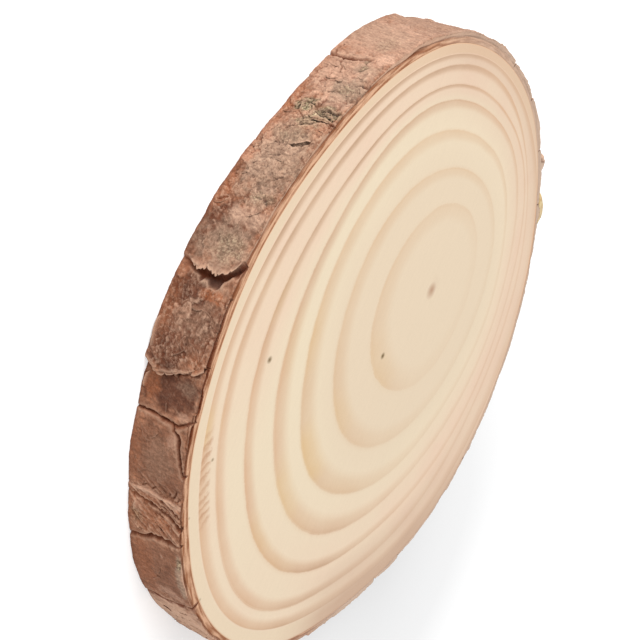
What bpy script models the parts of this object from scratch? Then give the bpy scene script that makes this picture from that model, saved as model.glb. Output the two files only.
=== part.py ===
"""A slice sawn across a young pine stem, with its bark on, lying on one sawn face.

One solid: wood and bark grew together. Metres, +Z up, the slice's axis along Z, the origin under the middle
of its bounding box. Angles run counter-clockwise from +X, in degrees, and rise from one bark seam to the next.
"""
import math
import random

import bmesh
import bpy
from mathutils import Vector, noise

MM = 0.001

# Driving dimensions
RADIUS = 55.0 * MM
THICKNESS = 10.0 * MM

# The stem isn't round: shallow waves on its outline, as waves per turn, height and direction of a crest
OUTLINE_WAVES = (
    (3, 0.8 * MM, -39.0),
    (4, 0.4 * MM, -14.0),
    (5, 0.27 * MM, -8.5),
    (7, 0.2 * MM, 8.0),
)

# Seams in the bark. Each is followed from the lower sawn face to the upper one at evenly spaced heights:
# its angle there in degrees, and there how deep it is in millimetres.
SEAMS = (
    ((209.0, 208.2, 208.0, 208.6, 209.4), (0.2, 0.3, 0.2, 0.2, 0.1)),
    ((226.9, 226.6, 226.2, 225.5, 225.0), (0.9, 1.0, 0.7, 0.2, 0.1)),
    ((232.6, 232.4, 232.2, 232.2, 231.9), (0.1, 0.2, 0.2, 0.4, 0.5)),
    ((238.6, 239.5, 241.4, 240.6, 241.0), (0.3, 0.5, 0.8, 0.9, 0.7)),
    ((247.2, 246.9, 246.5, 245.9, 245.0), (0.1, 0.2, 0.5, 0.8, 0.3)),
    ((253.4, 253.2, 252.9, 252.4, 252.0), (0.2, 0.1, 0.1, 0.3, 0.2)),
    ((261.2, 261.5, 261.8, 261.6, 262.0), (0.2, 0.3, 0.3, 0.2, 0.1)),
    ((268.6, 269.2, 269.4, 268.8, 266.2), (0.3, 0.7, 1.2, 1.3, 1.2)),
    ((287.6, 285.4, 284.2, 283.5, 282.0), (0.3, 0.2, 0.2, 0.2, 0.3)),
    ((291.5, 291.5, 291.6, 291.7, 290.8), (0.9, 0.8, 0.9, 0.9, 0.7)),
    ((304.4, 304.2, 304.1, 303.9, 303.7), (0.3, 0.3, 0.3, 0.3, 0.3)),
    ((305.8, 305.9, 306.4, 306.9, 308.0), (0.2, 0.3, 0.6, 0.6, 0.5)),
    ((314.2, 313.3, 312.2, 311.8, 311.7), (0.7, 0.9, 0.9, 0.8, 0.6)),
    ((329.6, 328.9, 328.5, 328.0, 326.6), (0.6, 0.7, 0.6, 0.5, 0.4)),
    ((340.5, 340.0, 339.4, 339.2, 338.8), (0.3, 0.4, 0.5, 0.4, 0.2)),
)

# The plate after each seam above: how far, in millimetres, its left edge stands out at the lower and the upper
# face, the same for its right edge, and how much its middle bulges
PLATES = (
    (1.1, 0.0, 0.6, 0.1, 0.15),
    (0.1, 0.0, -0.2, 0.0, 0.15),
    (-0.4, 0.0, -0.6, 0.0, 0.15),
    (-0.7, 0.0, -0.8, 0.0, 0.15),
    (-0.6, 0.1, -0.4, 0.1, 0.15),
    (-0.4, 0.1, -0.4, 0.1, 0.2),
    (-0.4, 0.1, -0.3, 0.3, 0.15),
    (-0.5, -0.2, 0.5, 0.2, 0.2),
    (-0.7, -0.4, -0.2, -0.3, 0.15),
    (-0.1, 0.2, -0.3, 0.0, 0.25),
    (-0.3, 0.2, -0.5, 0.0, 0.1),
    (-0.4, -0.1, -0.2, 0.1, 0.25),
    (-0.1, 0.2, 0.2, 0.0, 0.25),
    (0.0, -0.2, 0.0, -0.1, 0.15),
    (0.0, 0.0, 0.0, 0.0, 0.2),
)

# Round the side that no photograph shows, the seams go on to the first one by a seeded rule
HIDDEN_SEAMS = 15
HIDDEN_SEAM_WANDER = 1.1
HIDDEN_SEAM_SHIFT = 2.6
HIDDEN_SEAM_DEPTH = (0.2, 0.9)
HIDDEN_PLATE_STAND = 0.3
HIDDEN_PLATE_CROWN = (0.1, 0.3)
HIDDEN_SEED = 11

# Knobs on the bark near the upper face: angle, half width in degrees, height of the middle and half height
# up the side, and how far it stands out
KNOBS = (
    (134.7, 4.6, 7.6 * MM, 2.6 * MM, 2.9 * MM),
    (146.2, 1.9, 8.4 * MM, 1.5 * MM, 2.5 * MM),
    (77.6, 2.0, 8.6 * MM, 1.6 * MM, 0.8 * MM),
)

# The mesh of the side: a seam is this wide, and a plate has a column of points about every so many degrees
SEAM_HALF_WIDTH = 0.28
COLUMN_SPACING = 1.2
WALL_LEVELS = 9

# Fine relief of the bark: long ridges along the stem
RIDGE_HEIGHT = 0.40 * MM
RIDGES_PER_RADIAN = 22.0
RIDGE_CHANGES_UP_SIDE = 2.2

# The saw crumbles the bark's edges, more on the lower face, where the blade came out
UPPER_CHIP = (0.10 * MM, 0.25 * MM)
LOWER_CHIP = (0.20 * MM, 0.55 * MM)

# Where the bark has parted from the wood on the upper face: a gap this far inside the edge
GAP_INSET = 0.45 * MM
GAP_HALF_WIDTH = 0.12 * MM
GAP_CLEARANCE = 0.12 * MM
GAP_SHALLOW = 0.12 * MM
GAP_DEEP = 1.1 * MM
GAP_MIDDLE = 284.0
GAP_REACH = 24.0

WOOD_AND_BARK = (0.70, 0.52, 0.36, 1.0)


def outline(angle):
    """Radius of the stem over its bark, without seams or relief."""
    waves = sum(height * math.cos(math.radians(count * (angle - crest))) for count, height, crest in OUTLINE_WAVES)
    return RADIUS + waves


def follow(values, share):
    """Reads evenly spaced values at a share from 0 to 1 between the first and the last."""
    place = share * (len(values) - 1)
    before = min(int(place), len(values) - 2)
    return values[before] + (values[before + 1] - values[before]) * (place - before)


def all_seams_and_plates():
    """The seen seams and plates, then the hidden ones up to a full turn from the first seam."""
    draw = random.Random(HIDDEN_SEED)
    seams = list(SEAMS)
    plates = list(PLATES)
    first = seams[0][0]
    last = seams[-1][0]
    knots = len(first)
    for index in range(1, HIDDEN_SEAMS + 1):
        share = index / (HIDDEN_SEAMS + 1)
        shift = draw.uniform(-HIDDEN_SEAM_SHIFT, HIDDEN_SEAM_SHIFT)
        angles = []
        for knot in range(knots):
            even = last[knot] + (first[knot] + 360.0 - last[knot]) * share
            angles.append(even + shift + draw.uniform(-HIDDEN_SEAM_WANDER, HIDDEN_SEAM_WANDER))
        depths = [draw.uniform(*HIDDEN_SEAM_DEPTH) for _ in range(knots)]
        seams.append((tuple(angles), tuple(depths)))
        stands = [draw.uniform(-HIDDEN_PLATE_STAND, HIDDEN_PLATE_STAND) for _ in range(4)]
        plates.append((*stands, draw.uniform(*HIDDEN_PLATE_CROWN)))
    return seams, plates


def ridge(angle, share):
    """Height of the fine relief at an angle and a share of the way up the side."""
    turn = math.radians(angle) * RIDGES_PER_RADIAN
    ring = RIDGES_PER_RADIAN
    spot = Vector((ring * math.cos(turn / ring), ring * math.sin(turn / ring), share * RIDGE_CHANGES_UP_SIDE))
    return RIDGE_HEIGHT * noise.noise(spot)


def knobs(angle, height):
    """How far the knobs stand out at a place on the side."""
    total = 0.0
    for middle, half_width, middle_height, half_height, stand in KNOBS:
        across = ((angle - middle + 180.0) % 360.0 - 180.0) / half_width
        along = (height - middle_height) / half_height
        near = max(0.0, 1.0 - across * across - along * along)
        total += stand * math.sqrt(near)
    return total


def side_columns(seams, plates):
    """Columns of points round the side, each as one function from share of height to (angle, radius)."""
    columns = []
    for index, plate in enumerate(plates):
        left_angles, left_depths = seams[index]
        if index + 1 < len(seams):
            right_angles = seams[index + 1][0]
        else:
            right_angles = tuple(angle + 360.0 for angle in seams[0][0])
        width = right_angles[0] - left_angles[0]
        steps = max(3, round(width / COLUMN_SPACING))
        columns.append(seam_column(left_angles, left_depths))
        for step in range(steps + 1):
            columns.append(plate_column(left_angles, right_angles, plate, step / steps))
    return columns


def seam_column(angles, depths):
    """The floor of a seam."""
    def place(share):
        angle = follow(angles, share)
        return angle, outline(angle) - follow(depths, share) * MM + knobs(angle, share * THICKNESS)
    return place


def plate_column(left_angles, right_angles, plate, across):
    """A line of points up a plate, a share of the way from its left edge to its right edge."""
    left_low, left_high, right_low, right_high, crown = plate

    def place(share):
        left = follow(left_angles, share) + SEAM_HALF_WIDTH
        right = follow(right_angles, share) - SEAM_HALF_WIDTH
        angle = left + (right - left) * across
        low = left_low + (right_low - left_low) * across
        high = left_high + (right_high - left_high) * across
        stand = low + (high - low) * share + crown * 4.0 * across * (1.0 - across)
        radius = outline(angle) + stand * MM + ridge(angle, share)
        return angle, radius + knobs(angle, share * THICKNESS)
    return place


def chip(angle, least_and_more, salt):
    """How far an edge has crumbled at an angle."""
    least, more = least_and_more
    turn = math.radians(angle)
    ring = RIDGES_PER_RADIAN
    spot = Vector((ring * math.cos(turn), ring * math.sin(turn), salt))
    return least + more * abs(noise.noise(spot))


def gap_depth(angle):
    """Depth of the gap between bark and wood on the upper face."""
    away = abs((angle - GAP_MIDDLE + 180.0) % 360.0 - 180.0) / GAP_REACH
    return GAP_SHALLOW + (GAP_DEEP - GAP_SHALLOW) * max(0.0, 1.0 - away * away)


def at(angle, radius, height):
    """A point from its angle in degrees, its radius and its height."""
    turn = math.radians(angle)
    return Vector((radius * math.cos(turn), radius * math.sin(turn), height))


def column_points(place):
    """All points of one column, from the lower sawn face up the side and in over the upper face."""
    low_angle, low_radius = place(0.0)
    high_angle, high_radius = place(1.0)
    low_chip = chip(low_angle, LOWER_CHIP, 0.0)
    high_chip = chip(high_angle, UPPER_CHIP, 5.0)
    points = [at(low_angle, low_radius - low_chip, 0.0)]
    for level in range(WALL_LEVELS):
        height = low_chip + (THICKNESS - low_chip - high_chip) * level / (WALL_LEVELS - 1)
        angle, radius = place(height / THICKNESS)
        points.append(at(angle, radius, height))
    edge = high_radius - high_chip
    gap = min(outline(high_angle) - GAP_INSET, edge - GAP_HALF_WIDTH - GAP_CLEARANCE)
    points.append(at(high_angle, edge, THICKNESS))
    points.append(at(high_angle, gap + GAP_HALF_WIDTH, THICKNESS))
    points.append(at(high_angle, gap, THICKNESS - gap_depth(high_angle)))
    points.append(at(high_angle, gap - GAP_HALF_WIDTH, THICKNESS))
    return points


def slice_mesh():
    """The closed skin of the slice, moved so that its bounding box is centred on the Z axis."""
    columns = [column_points(place) for place in side_columns(*all_seams_and_plates())]
    xs = [point.x for column in columns for point in column]
    ys = [point.y for column in columns for point in column]
    middle = Vector(((min(xs) + max(xs)) / 2, (min(ys) + max(ys)) / 2, 0.0))
    mesh = bmesh.new()
    rows = [[mesh.verts.new(point - middle) for point in column] for column in columns]
    count = len(rows)
    for index, row in enumerate(rows):
        after = rows[(index + 1) % count]
        for level in range(len(row) - 1):
            mesh.faces.new((row[level], after[level], after[level + 1], row[level + 1]))
    mesh.faces.new([row[0] for row in reversed(rows)])
    mesh.faces.new([row[-1] for row in rows])
    mesh.normal_update()
    return mesh


def wood_material():
    """Pale pine with the warm brown of its bark mixed in, dry and matt."""
    material = bpy.data.materials.new("pine_with_bark")
    material.use_nodes = True
    surface = material.node_tree.nodes["Principled BSDF"]
    surface.inputs["Base Color"].default_value = WOOD_AND_BARK
    surface.inputs["Roughness"].default_value = 0.75
    surface.inputs["Metallic"].default_value = 0.0
    return material


def build():
    """Clears the scene and models the slice."""
    for thing in list(bpy.data.objects):
        bpy.data.objects.remove(thing, do_unlink=True)
    data = bpy.data.meshes.new("wood_slice")
    mesh = slice_mesh()
    mesh.to_mesh(data)
    mesh.free()
    data.materials.append(wood_material())
    piece = bpy.data.objects.new("wood_slice", data)
    bpy.context.scene.collection.objects.link(piece)
    size = piece.dimensions
    print(f"wood_slice {size.x / MM:.1f} x {size.y / MM:.1f} x {size.z / MM:.1f} mm, {len(data.polygons)} faces")


build()
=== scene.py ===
# %% [markdown]
# # A slice of pine with its bark on
# A thin slice sawn across a young pine stem. The sawn face shows the growth rings round an off-centre
# pith, and the rim is flaking red-brown bark. The solid made elsewhere fixes the size and the place.
# This script dresses it: sawn wood laid out ring by ring, bark as a relief, loose flakes, a bead of
# resin, light and a camera.
# %% The frame
import math
import random

import bpy
import numpy as np
from mathutils import Matrix, Vector


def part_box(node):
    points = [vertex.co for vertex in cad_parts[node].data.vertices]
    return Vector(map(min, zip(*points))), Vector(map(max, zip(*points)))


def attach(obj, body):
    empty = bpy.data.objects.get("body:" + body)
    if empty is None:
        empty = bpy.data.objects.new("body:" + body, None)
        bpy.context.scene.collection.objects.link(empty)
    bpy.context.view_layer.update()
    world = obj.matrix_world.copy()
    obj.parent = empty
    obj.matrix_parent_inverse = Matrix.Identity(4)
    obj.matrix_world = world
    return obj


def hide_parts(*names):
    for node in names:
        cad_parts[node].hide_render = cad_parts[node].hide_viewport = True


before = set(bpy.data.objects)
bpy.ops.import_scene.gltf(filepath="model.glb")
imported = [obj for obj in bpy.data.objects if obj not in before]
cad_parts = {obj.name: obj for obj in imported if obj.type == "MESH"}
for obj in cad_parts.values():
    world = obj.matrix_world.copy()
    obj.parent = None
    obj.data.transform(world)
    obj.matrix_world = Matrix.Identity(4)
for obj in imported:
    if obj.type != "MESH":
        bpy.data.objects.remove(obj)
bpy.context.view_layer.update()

NODE = "wood_slice"
low, high = (np.array(corner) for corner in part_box(NODE))
print("slice in millimetres:", np.round((high - low) * 1000, 1))

# %% [markdown]
# ## The stem's own coordinates
# Points are worked out in millimetres round the middle of the stem, where angles and radii are easy to
# give. The solid has its origin under the middle of its bounding box, which is a little off the stem's
# middle, so one shift brings every point over. The outline is a circle with a few shallow waves, as a
# real stem has.
# %% Sizes and the outline
MM = 0.001
THICKNESS = 10.0
STEM_RADIUS = 55.0
BOX_MIDDLE = np.array([-0.21, 0.36, 0.0])
FULL_TURN = 2.0 * math.pi
# Waves a turn, height in millimetres and the direction of a crest
OUTLINE_WAVES = ((3, 0.8, -39.0), (4, 0.4, -14.0), (5, 0.27, -8.5), (7, 0.2, 8.0))


def unit(values):
    """Values kept between 0 and 1."""
    return np.clip(values, 0.0, 1.0)


def rising(values, start, width):
    """0 up to a start and 1 from a width past it."""
    return unit((values - start) / width)


def falling(values, end, width):
    """1 up to a width before an end and 0 past it."""
    return unit((end - values) / width)


def waves(turn, list_of_waves):
    """Sum of waves round the stem, each as waves a turn, height and the direction of a crest in degrees."""
    return sum(height * np.cos(count * (turn - math.radians(crest)))
               for count, height, crest in list_of_waves)


def outline(turn):
    """Radius of the stem over its bark."""
    return STEM_RADIUS + waves(turn, OUTLINE_WAVES)


# Thickness of the bark, as angle and millimetres
BARK_THICKNESS = ((0, 1.2), (40, 1.0), (90, 1.1), (160, 1.2), (190, 1.45), (204, 1.6), (216, 1.9),
                  (245, 2.0), (262, 1.85), (276, 2.0), (284, 1.8), (294, 1.25), (300, 1.35), (312, 1.9),
                  (334, 1.5), (360, 1.2))


def table_at(table, turn):
    """Reads a table of angle in degrees and value, round the stem."""
    angles, values = zip(*table)
    return np.interp(np.degrees(turn) % 360.0, angles, values)


def wood_edge(turn):
    """Radius at which wood meets bark."""
    return outline(turn) - table_at(BARK_THICKNESS, turn)


def place(x, y, z):
    """Points in metres, in the solid's frame, from millimetres round the stem's middle."""
    points = np.stack([np.ravel(x), np.ravel(y), np.ravel(z)], axis=1)
    return (points - BOX_MIDDLE) * MM


edge = wood_edge(np.linspace(0, FULL_TURN, 90))
print("wood edge from", edge.min().round(1), "to", edge.max().round(1), "mm")

# %% [markdown]
# ## The camera
# The photograph looks from a little above the face, with the camera rolled over on its side, so the
# bark runs down the left of the picture. Distance and lens are those that fit the slice's two rims. The
# last small turns put the slice where it is in the picture.
# %% Camera
CAMERA_DISTANCE = 213.6
CAMERA_ELEVATION = math.radians(26.74)
CAMERA_ROLL = math.radians(112.89)
CAMERA_TILT = math.radians(1.337)
CAMERA_PAN = math.radians(0.296)
LENS = 68.2
SENSOR = 36.0
NEAREST_SEEN = 0.01


def set_up_camera():
    """Puts the camera round the middle of the stem at the height of the lower face."""
    back = Vector((0.0, -math.cos(CAMERA_ELEVATION), math.sin(CAMERA_ELEVATION)))
    look = -back
    right = Vector((1.0, 0.0, 0.0))
    up = right.cross(look)
    axes = Matrix((right, -up, look))
    axes = Matrix.Rotation(CAMERA_PAN, 3, "Y") @ axes
    axes = Matrix.Rotation(CAMERA_TILT, 3, "X") @ axes
    axes = Matrix.Rotation(CAMERA_ROLL, 3, "Z") @ axes
    lens = bpy.data.cameras.new("camera")
    lens.sensor_width = SENSOR
    lens.lens = LENS
    lens.clip_start = NEAREST_SEEN
    camera = bpy.data.objects.new("camera", lens)
    bpy.context.scene.collection.objects.link(camera)
    turned = Matrix((axes[0], -axes[1], -axes[2])).transposed().to_4x4()
    spot = (Vector(back * CAMERA_DISTANCE) - Vector(BOX_MIDDLE)) * MM
    camera.matrix_world = Matrix.Translation(spot) @ turned
    bpy.context.scene.camera = camera
    return camera


camera = set_up_camera()
print("camera at", [round(value, 4) for value in camera.location])

# %% [markdown]
# ## Light
# The picture is a bright studio shot on white: a large soft lamp stands off to the side where the bark
# is palest, and white all round fills the shadows. A plain colour transform keeps the whites white.
# %% Light and colour
KEY_POWER = 4.4
KEY_SIZE = 0.45
KEY_FROM = Vector((-0.48, -0.50, 0.37))
FILL = 0.91


def set_up_light():
    """One soft key lamp and an even white surround."""
    scene = bpy.context.scene
    scene.view_settings.view_transform = "Standard"
    scene.view_settings.look = "None"
    lamp = bpy.data.lights.new("key", "AREA")
    lamp.shape = "DISK"
    lamp.size = KEY_SIZE
    lamp.energy = KEY_POWER
    key = bpy.data.objects.new("key", lamp)
    scene.collection.objects.link(key)
    key.location = KEY_FROM
    key.rotation_euler = (-KEY_FROM).to_track_quat("-Z", "Y").to_euler()
    world = bpy.data.worlds.new("white_room")
    world.use_nodes = True
    world.node_tree.nodes["Background"].inputs["Color"].default_value = (1.0, 1.0, 1.0, 1.0)
    world.node_tree.nodes["Background"].inputs["Strength"].default_value = FILL
    scene.world = world
    return key


key = set_up_light()
print("key lamp", round(key.location.length, 2), "m away")

# %% [markdown]
# ## Writing shaders as sums
# A material is easier to read as arithmetic than as a list of nodes and links. A `Wire` holds one
# output of a node, and its operators add the Math nodes. Every node, those too, comes from one method,
# `add`, which takes the node's type, its settings, which are set first, and then a value or a wire for
# each socket by name or number.
# %% Shader maths
class Wire:
    """One node output in a material that is being written."""

    def __init__(self, finish, socket):
        self.finish = finish
        self.socket = socket

    def _math(self, operation, *values):
        return self.finish.add("ShaderNodeMath", {"operation": operation}, dict(enumerate(values)))

    def __add__(self, other):
        return self._math("ADD", self, other)

    def __radd__(self, other):
        return self._math("ADD", other, self)

    def __sub__(self, other):
        return self._math("SUBTRACT", self, other)

    def __rsub__(self, other):
        return self._math("SUBTRACT", other, self)

    def __mul__(self, other):
        return self._math("MULTIPLY", self, other)

    def __rmul__(self, other):
        return self._math("MULTIPLY", other, self)

    def __truediv__(self, other):
        return self._math("DIVIDE", self, other)

    def __rtruediv__(self, other):
        return self._math("DIVIDE", other, self)

    def clamp(self):
        """The value kept between 0 and 1."""
        return self._math("MINIMUM", self._math("MAXIMUM", self, 0.0), 1.0)

    def fraction(self):
        """What is left over past the last whole number."""
        return self._math("FRACT", self)


class Finish:
    """A material being written: it adds nodes and holds the Principled shader."""

    def __init__(self, name):
        self.material = bpy.data.materials.new(name)
        self.material.use_nodes = True
        self.tree = self.material.node_tree
        self.shader = self.tree.nodes["Principled BSDF"]

    def plug(self, value, socket):
        """Links a wire to a socket, or sets the socket to a plain value."""
        if isinstance(value, Wire):
            self.tree.links.new(value.socket, socket)
        else:
            socket.default_value = value

    def add(self, kind, settings, sockets, output=0):
        """Adds a node of a kind, with its settings first and then its sockets, and gives one output."""
        node = self.tree.nodes.new(kind)
        for name, value in settings.items():
            if name == "stops":
                self.set_stops(node.color_ramp.elements, value)
            else:
                setattr(node, name, value)
        for name, value in sockets.items():
            self.plug(value, node.inputs[name])
        return Wire(self, node.outputs[output])

    def set_stops(self, elements, stops):
        """Gives a ramp its (place, height) stops."""
        while len(elements) < len(stops):
            elements.new(0.5)
        for element, (place_at, height) in zip(elements, stops):
            element.position = place_at
            element.color = (height, height, height, 1.0)

    def value(self, name):
        """A number stored on the mesh's points."""
        return self.add("ShaderNodeAttribute", {"attribute_name": name}, {}, "Fac")

    def spot(self, scale=(1.0, 1.0, 1.0)):
        """The place on the object in millimetres, stretched by a scale."""
        here = self.add("ShaderNodeTexCoord", {}, {}, "Object")
        return self.add("ShaderNodeVectorMath", {"operation": "MULTIPLY"},
                        {0: here, 1: [1000.0 * part for part in scale]})

    def along(self, spot, direction):
        """How far a place lies along a direction, in millimetres."""
        return self.add("ShaderNodeVectorMath", {"operation": "DOT_PRODUCT"},
                        {0: spot, 1: direction}, "Value")

    def away(self, spot, middle):
        """Distance of a place from a point."""
        return self.add("ShaderNodeVectorMath", {"operation": "DISTANCE"}, {0: spot, 1: middle}, "Value")

    def noise(self, spot, size, detail=3.0, roughness=0.55):
        """Cloudy noise from 0 to 1 with lumps of a size in millimetres."""
        return self.add("ShaderNodeTexNoise", {}, {"Vector": spot, "Scale": 1.0 / size, "Detail": detail,
                                                   "Roughness": roughness}, "Fac")

    def ramp(self, value, *stops):
        """A curve through (place, height) stops."""
        return self.add("ShaderNodeValToRGB", {"stops": stops}, {"Fac": value}, "Color")

    def mix(self, share, first, second, blend="MIX"):
        """Mixes two colours, each a wire or (red, green, blue). They are the Mix node's sockets 6 and 7."""
        first, second = (colour if isinstance(colour, Wire) else (*colour, 1.0)
                         for colour in (first, second))
        return self.add("ShaderNodeMix", {"data_type": "RGBA", "blend_type": blend},
                        {0: share, 6: first, 7: second}, 2)

    def stain(self, colour, name, least, cloud, more, target):
        """Pulls a colour to a target where a stored number says, unevenly: least, and more by a cloud."""
        return self.mix((self.value(name) * (least + cloud * more)).clamp(), colour, target)

    def bump(self, height, strength, depth):
        """Fine relief from a height wire, depth in millimetres."""
        sockets = {"Strength": strength, "Distance": depth * MM, "Height": height}
        return self.add("ShaderNodeBump", {}, sockets, "Normal")

    def set(self, **sockets):
        """Sets the Principled shader's sockets by name."""
        for name, value in sockets.items():
            self.plug(value, self.shader.inputs[name.replace("_", " ")])
        return self.material


def srgb(red, green, blue):
    """A colour given in screen bytes, as linear light."""
    return tuple(((part / 255 + 0.055) / 1.055) ** 2.4 for part in (red, green, blue))


# %% [markdown]
# ## Meshes from grids
# Every surface here is a sheet of points in rows and columns, bent to shape. One helper turns such
# sheets into a mesh with numbers stored on its points, which the materials read later.
# %% Mesh helpers
def grid_faces(rows, columns, closed):
    """Quads between neighbouring points of a sheet, row by row, joined round if it is closed."""
    across = columns if closed else columns - 1
    row, column = np.meshgrid(np.arange(rows - 1), np.arange(across), indexing="ij")
    after = (column + 1) % columns
    here, above = row * columns, (row + 1) * columns
    corners = [here + column, here + after, above + after, above + column]
    return np.stack([corner.ravel() for corner in corners], axis=1)


def make_piece(name, points, face_lists, values, material):
    """A mesh object from points in metres and arrays of faces, riding on the slice and standing for it."""
    data = bpy.data.meshes.new(name)
    data.from_pydata(points.tolist(), [], [tuple(face) for faces in face_lists for face in faces.tolist()])
    for key_name, numbers in values.items():
        stored = data.attributes.new(key_name, "FLOAT", "POINT")
        stored.data.foreach_set("value", np.ravel(numbers).astype("f4"))
    data.shade_smooth()
    data.materials.append(material)
    data.validate()
    piece = bpy.data.objects.new(name, data)
    bpy.context.scene.collection.objects.link(piece)
    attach(piece, "root")
    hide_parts(NODE)
    print(name, len(data.vertices), "points", len(data.polygons), "faces")
    return piece


# %% [markdown]
# ## Lumps
# Bark and wood vary without repeating. This gives smooth random heights over a sheet that closes round
# the stem: every crossing of a grid gets a seeded random slope, and heights between are blended from
# the four nearest.
# %% Smooth random heights
# Rows of slopes before the pattern comes round again, and where the bark starts in it
LUMP_ROWS = 97
LUMP_SHIFT = 7.3
CIRCUMFERENCE = FULL_TURN * STEM_RADIUS


def lumps(across, along, seed, around):
    """Random heights from -1 to 1, a lump a unit each way, closing after `around` lumps round the stem."""
    directions = np.random.default_rng(seed).uniform(0.0, FULL_TURN, (around, LUMP_ROWS))
    slope_across, slope_along = np.cos(directions), np.sin(directions)
    cell = np.floor(across).astype(int)
    row = np.floor(along).astype(int)
    u, v = across - cell, along - row

    def corner(step_across, step_along):
        where = (cell + step_across) % around, (row + step_along) % LUMP_ROWS
        return slope_across[where] * (u - step_across) + slope_along[where] * (v - step_along)

    ease_u, ease_v = (t * t * t * (t * (t * 6 - 15) + 10) for t in (u, v))
    lower = corner(0, 0) * (1 - ease_u) + corner(1, 0) * ease_u
    upper = corner(0, 1) * (1 - ease_u) + corner(1, 1) * ease_u
    return 1.5 * (lower * (1 - ease_v) + upper * ease_v)


def bark_lumps(turn, height, width, length, seed, octaves=1):
    """Random heights over the bark, with lumps of a width round the stem and a length along it."""
    total = 0.0
    weight_sum = 0.0
    for octave in range(octaves):
        around = max(3, int(CIRCUMFERENCE / width * 2 ** octave))
        weight = 0.5 ** octave
        along = height / length * 2 ** octave + LUMP_SHIFT
        total = total + weight * lumps(turn / FULL_TURN * around, along, seed + octave, around)
        weight_sum += weight
    return total / weight_sum


print("lumps ready, circumference", round(CIRCUMFERENCE), "mm")

# %% [markdown]
# ## Growth rings
# Each year's growth ends in a dark line of late wood. The rings aren't circles and don't share a
# centre: the pith sits well off the middle, so the year rings crowd on one side. Each ring below is a
# circle with its own centre and a few shallow waves, listed from the bark inwards, and the sheet of the
# sawn face has its rows along them. A number on every point counts the years from the pith, and the
# material colours by it.
# %% The rings
PITH = (-13.6, 4.8)
# Radius, centre and waves of each ring, from the bark inwards
RINGS = (
    (51.85, -0.9, 0.9, ((2, 0.74, -64), (3, 0.79, -35), (4, 0.18, -16), (5, 0.37, -12), (6, 0.09, -15))),
    (48.13, -1.8, -0.5, ((2, 0.56, -22), (3, 0.56, -36), (4, 0.19, -6), (5, 0.51, -14), (6, 0.24, -12))),
    (43.68, -4.1, 0.65, ((2, 0.55, -31), (3, 0.32, -27), (4, 0.15, -14), (5, 0.43, -4), (6, 0.11, -25))),
    (38.85, -6.7, 1.1, ((2, 0.42, -7), (3, 0.49, -15), (4, 0.08, -20), (5, 0.29, 4), (6, 0.12, -21))),
    (33.33, -8.05, 1.6, ((3, 0.47, -5), (4, 0.11, -28), (5, 0.06, 23), (6, 0.19, -23))),
    (26.11, -9.6, 2.9, ((2, 0.27, -71), (3, 0.36, 5), (4, 0.15, -32))),
    (17.7, -11.8, 4.2, ((2, 0.23, 80), (3, 0.11, 53), (4, 0.13, -40))),
)
FACE_COLUMNS = 504
# Where the rows of the sheet lie, as shares of a year
ROWS_A_RING = (0.0, 0.04, 0.1, 0.2, 0.3, 0.4, 0.5, 0.6, 0.7, 0.79, 0.87, 0.95)
FIRST_ROW = 0.01
LATE_WOOD_RELIEF = 0.03


def ring_curves(turn):
    """X and Y of the pith, of each ring from the inside out, and of the wood's edge."""
    curves = [(np.full_like(turn, PITH[0]), np.full_like(turn, PITH[1]))]
    for radius, middle_x, middle_y, ring_waves in reversed(RINGS):
        reach = radius + waves(turn, ring_waves)
        curves.append((middle_x + reach * np.cos(turn), middle_y + reach * np.sin(turn)))
    edge = wood_edge(turn)
    curves.append((edge * np.cos(turn), edge * np.sin(turn)))
    return curves


def face_sheet():
    """Points of a sawn face from the pith to the wood's edge, with the count of years at each."""
    turn = np.linspace(0.0, FULL_TURN, FACE_COLUMNS, endpoint=False)
    curves = ring_curves(turn)
    xs, ys, years = [], [], []
    for year in range(len(curves) - 1):
        (x0, y0), (x1, y1) = curves[year], curves[year + 1]
        for share in ROWS_A_RING:
            if year == 0 and share == 0.0:
                share = FIRST_ROW
            xs.append(x0 + (x1 - x0) * share)
            ys.append(y0 + (y1 - y0) * share)
            years.append(np.full_like(turn, year + share))
    xs.append(curves[-1][0])
    ys.append(curves[-1][1])
    years.append(np.full_like(turn, float(len(curves) - 1)))
    return np.array(xs), np.array(ys), np.array(years)


face_x, face_y, face_years = face_sheet()
print("face sheet", face_x.shape, "rows and columns,", len(RINGS), "rings")

# %% [markdown]
# ## Finish of the sawn wood
# Early wood is pale cream. Towards the end of each year it turns tan, quickly on the bark side and
# slowly on the other, and the next year starts pale again. On top lie faint clouds, a yellower patch or
# two near the pith, fine fibres and a few specks, and on the far side the last years are tanned. The
# wood is dry and matt.
# %% Sawn wood
EARLY_WOOD = srgb(216, 197, 171)
PALE_WOOD = srgb(220, 204, 177)
OUTER_WOOD = srgb(217, 197, 170)
PEACH_WOOD = srgb(220, 193, 169)
LATE_WOOD = srgb(206, 177, 145)
ROSY_WOOD = srgb(204, 168, 136)
LINE_BROWN = srgb(180, 148, 121)
HONEY_WOOD = srgb(208, 177, 134)
PITH_BROWN = srgb(176, 142, 116)
SPECK_BROWN = srgb(112, 92, 58)
STREAK_TAN = srgb(176, 132, 100)
SIDE_TAN = srgb(190, 160, 136)
STAIN_ORANGE = srgb(205, 160, 125)
# Knots and specks as x, y, radius in millimetres and darkness
SPECKS = ((0.41, -3.42, 0.75, 1.0), (7.21, -38.74, 0.7, 0.9), (23.2, -42.63, 0.4, 0.7),
          (44.85, -29.9, 0.4, 0.5), (32.2, -42.4, 0.35, 0.5))
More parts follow.
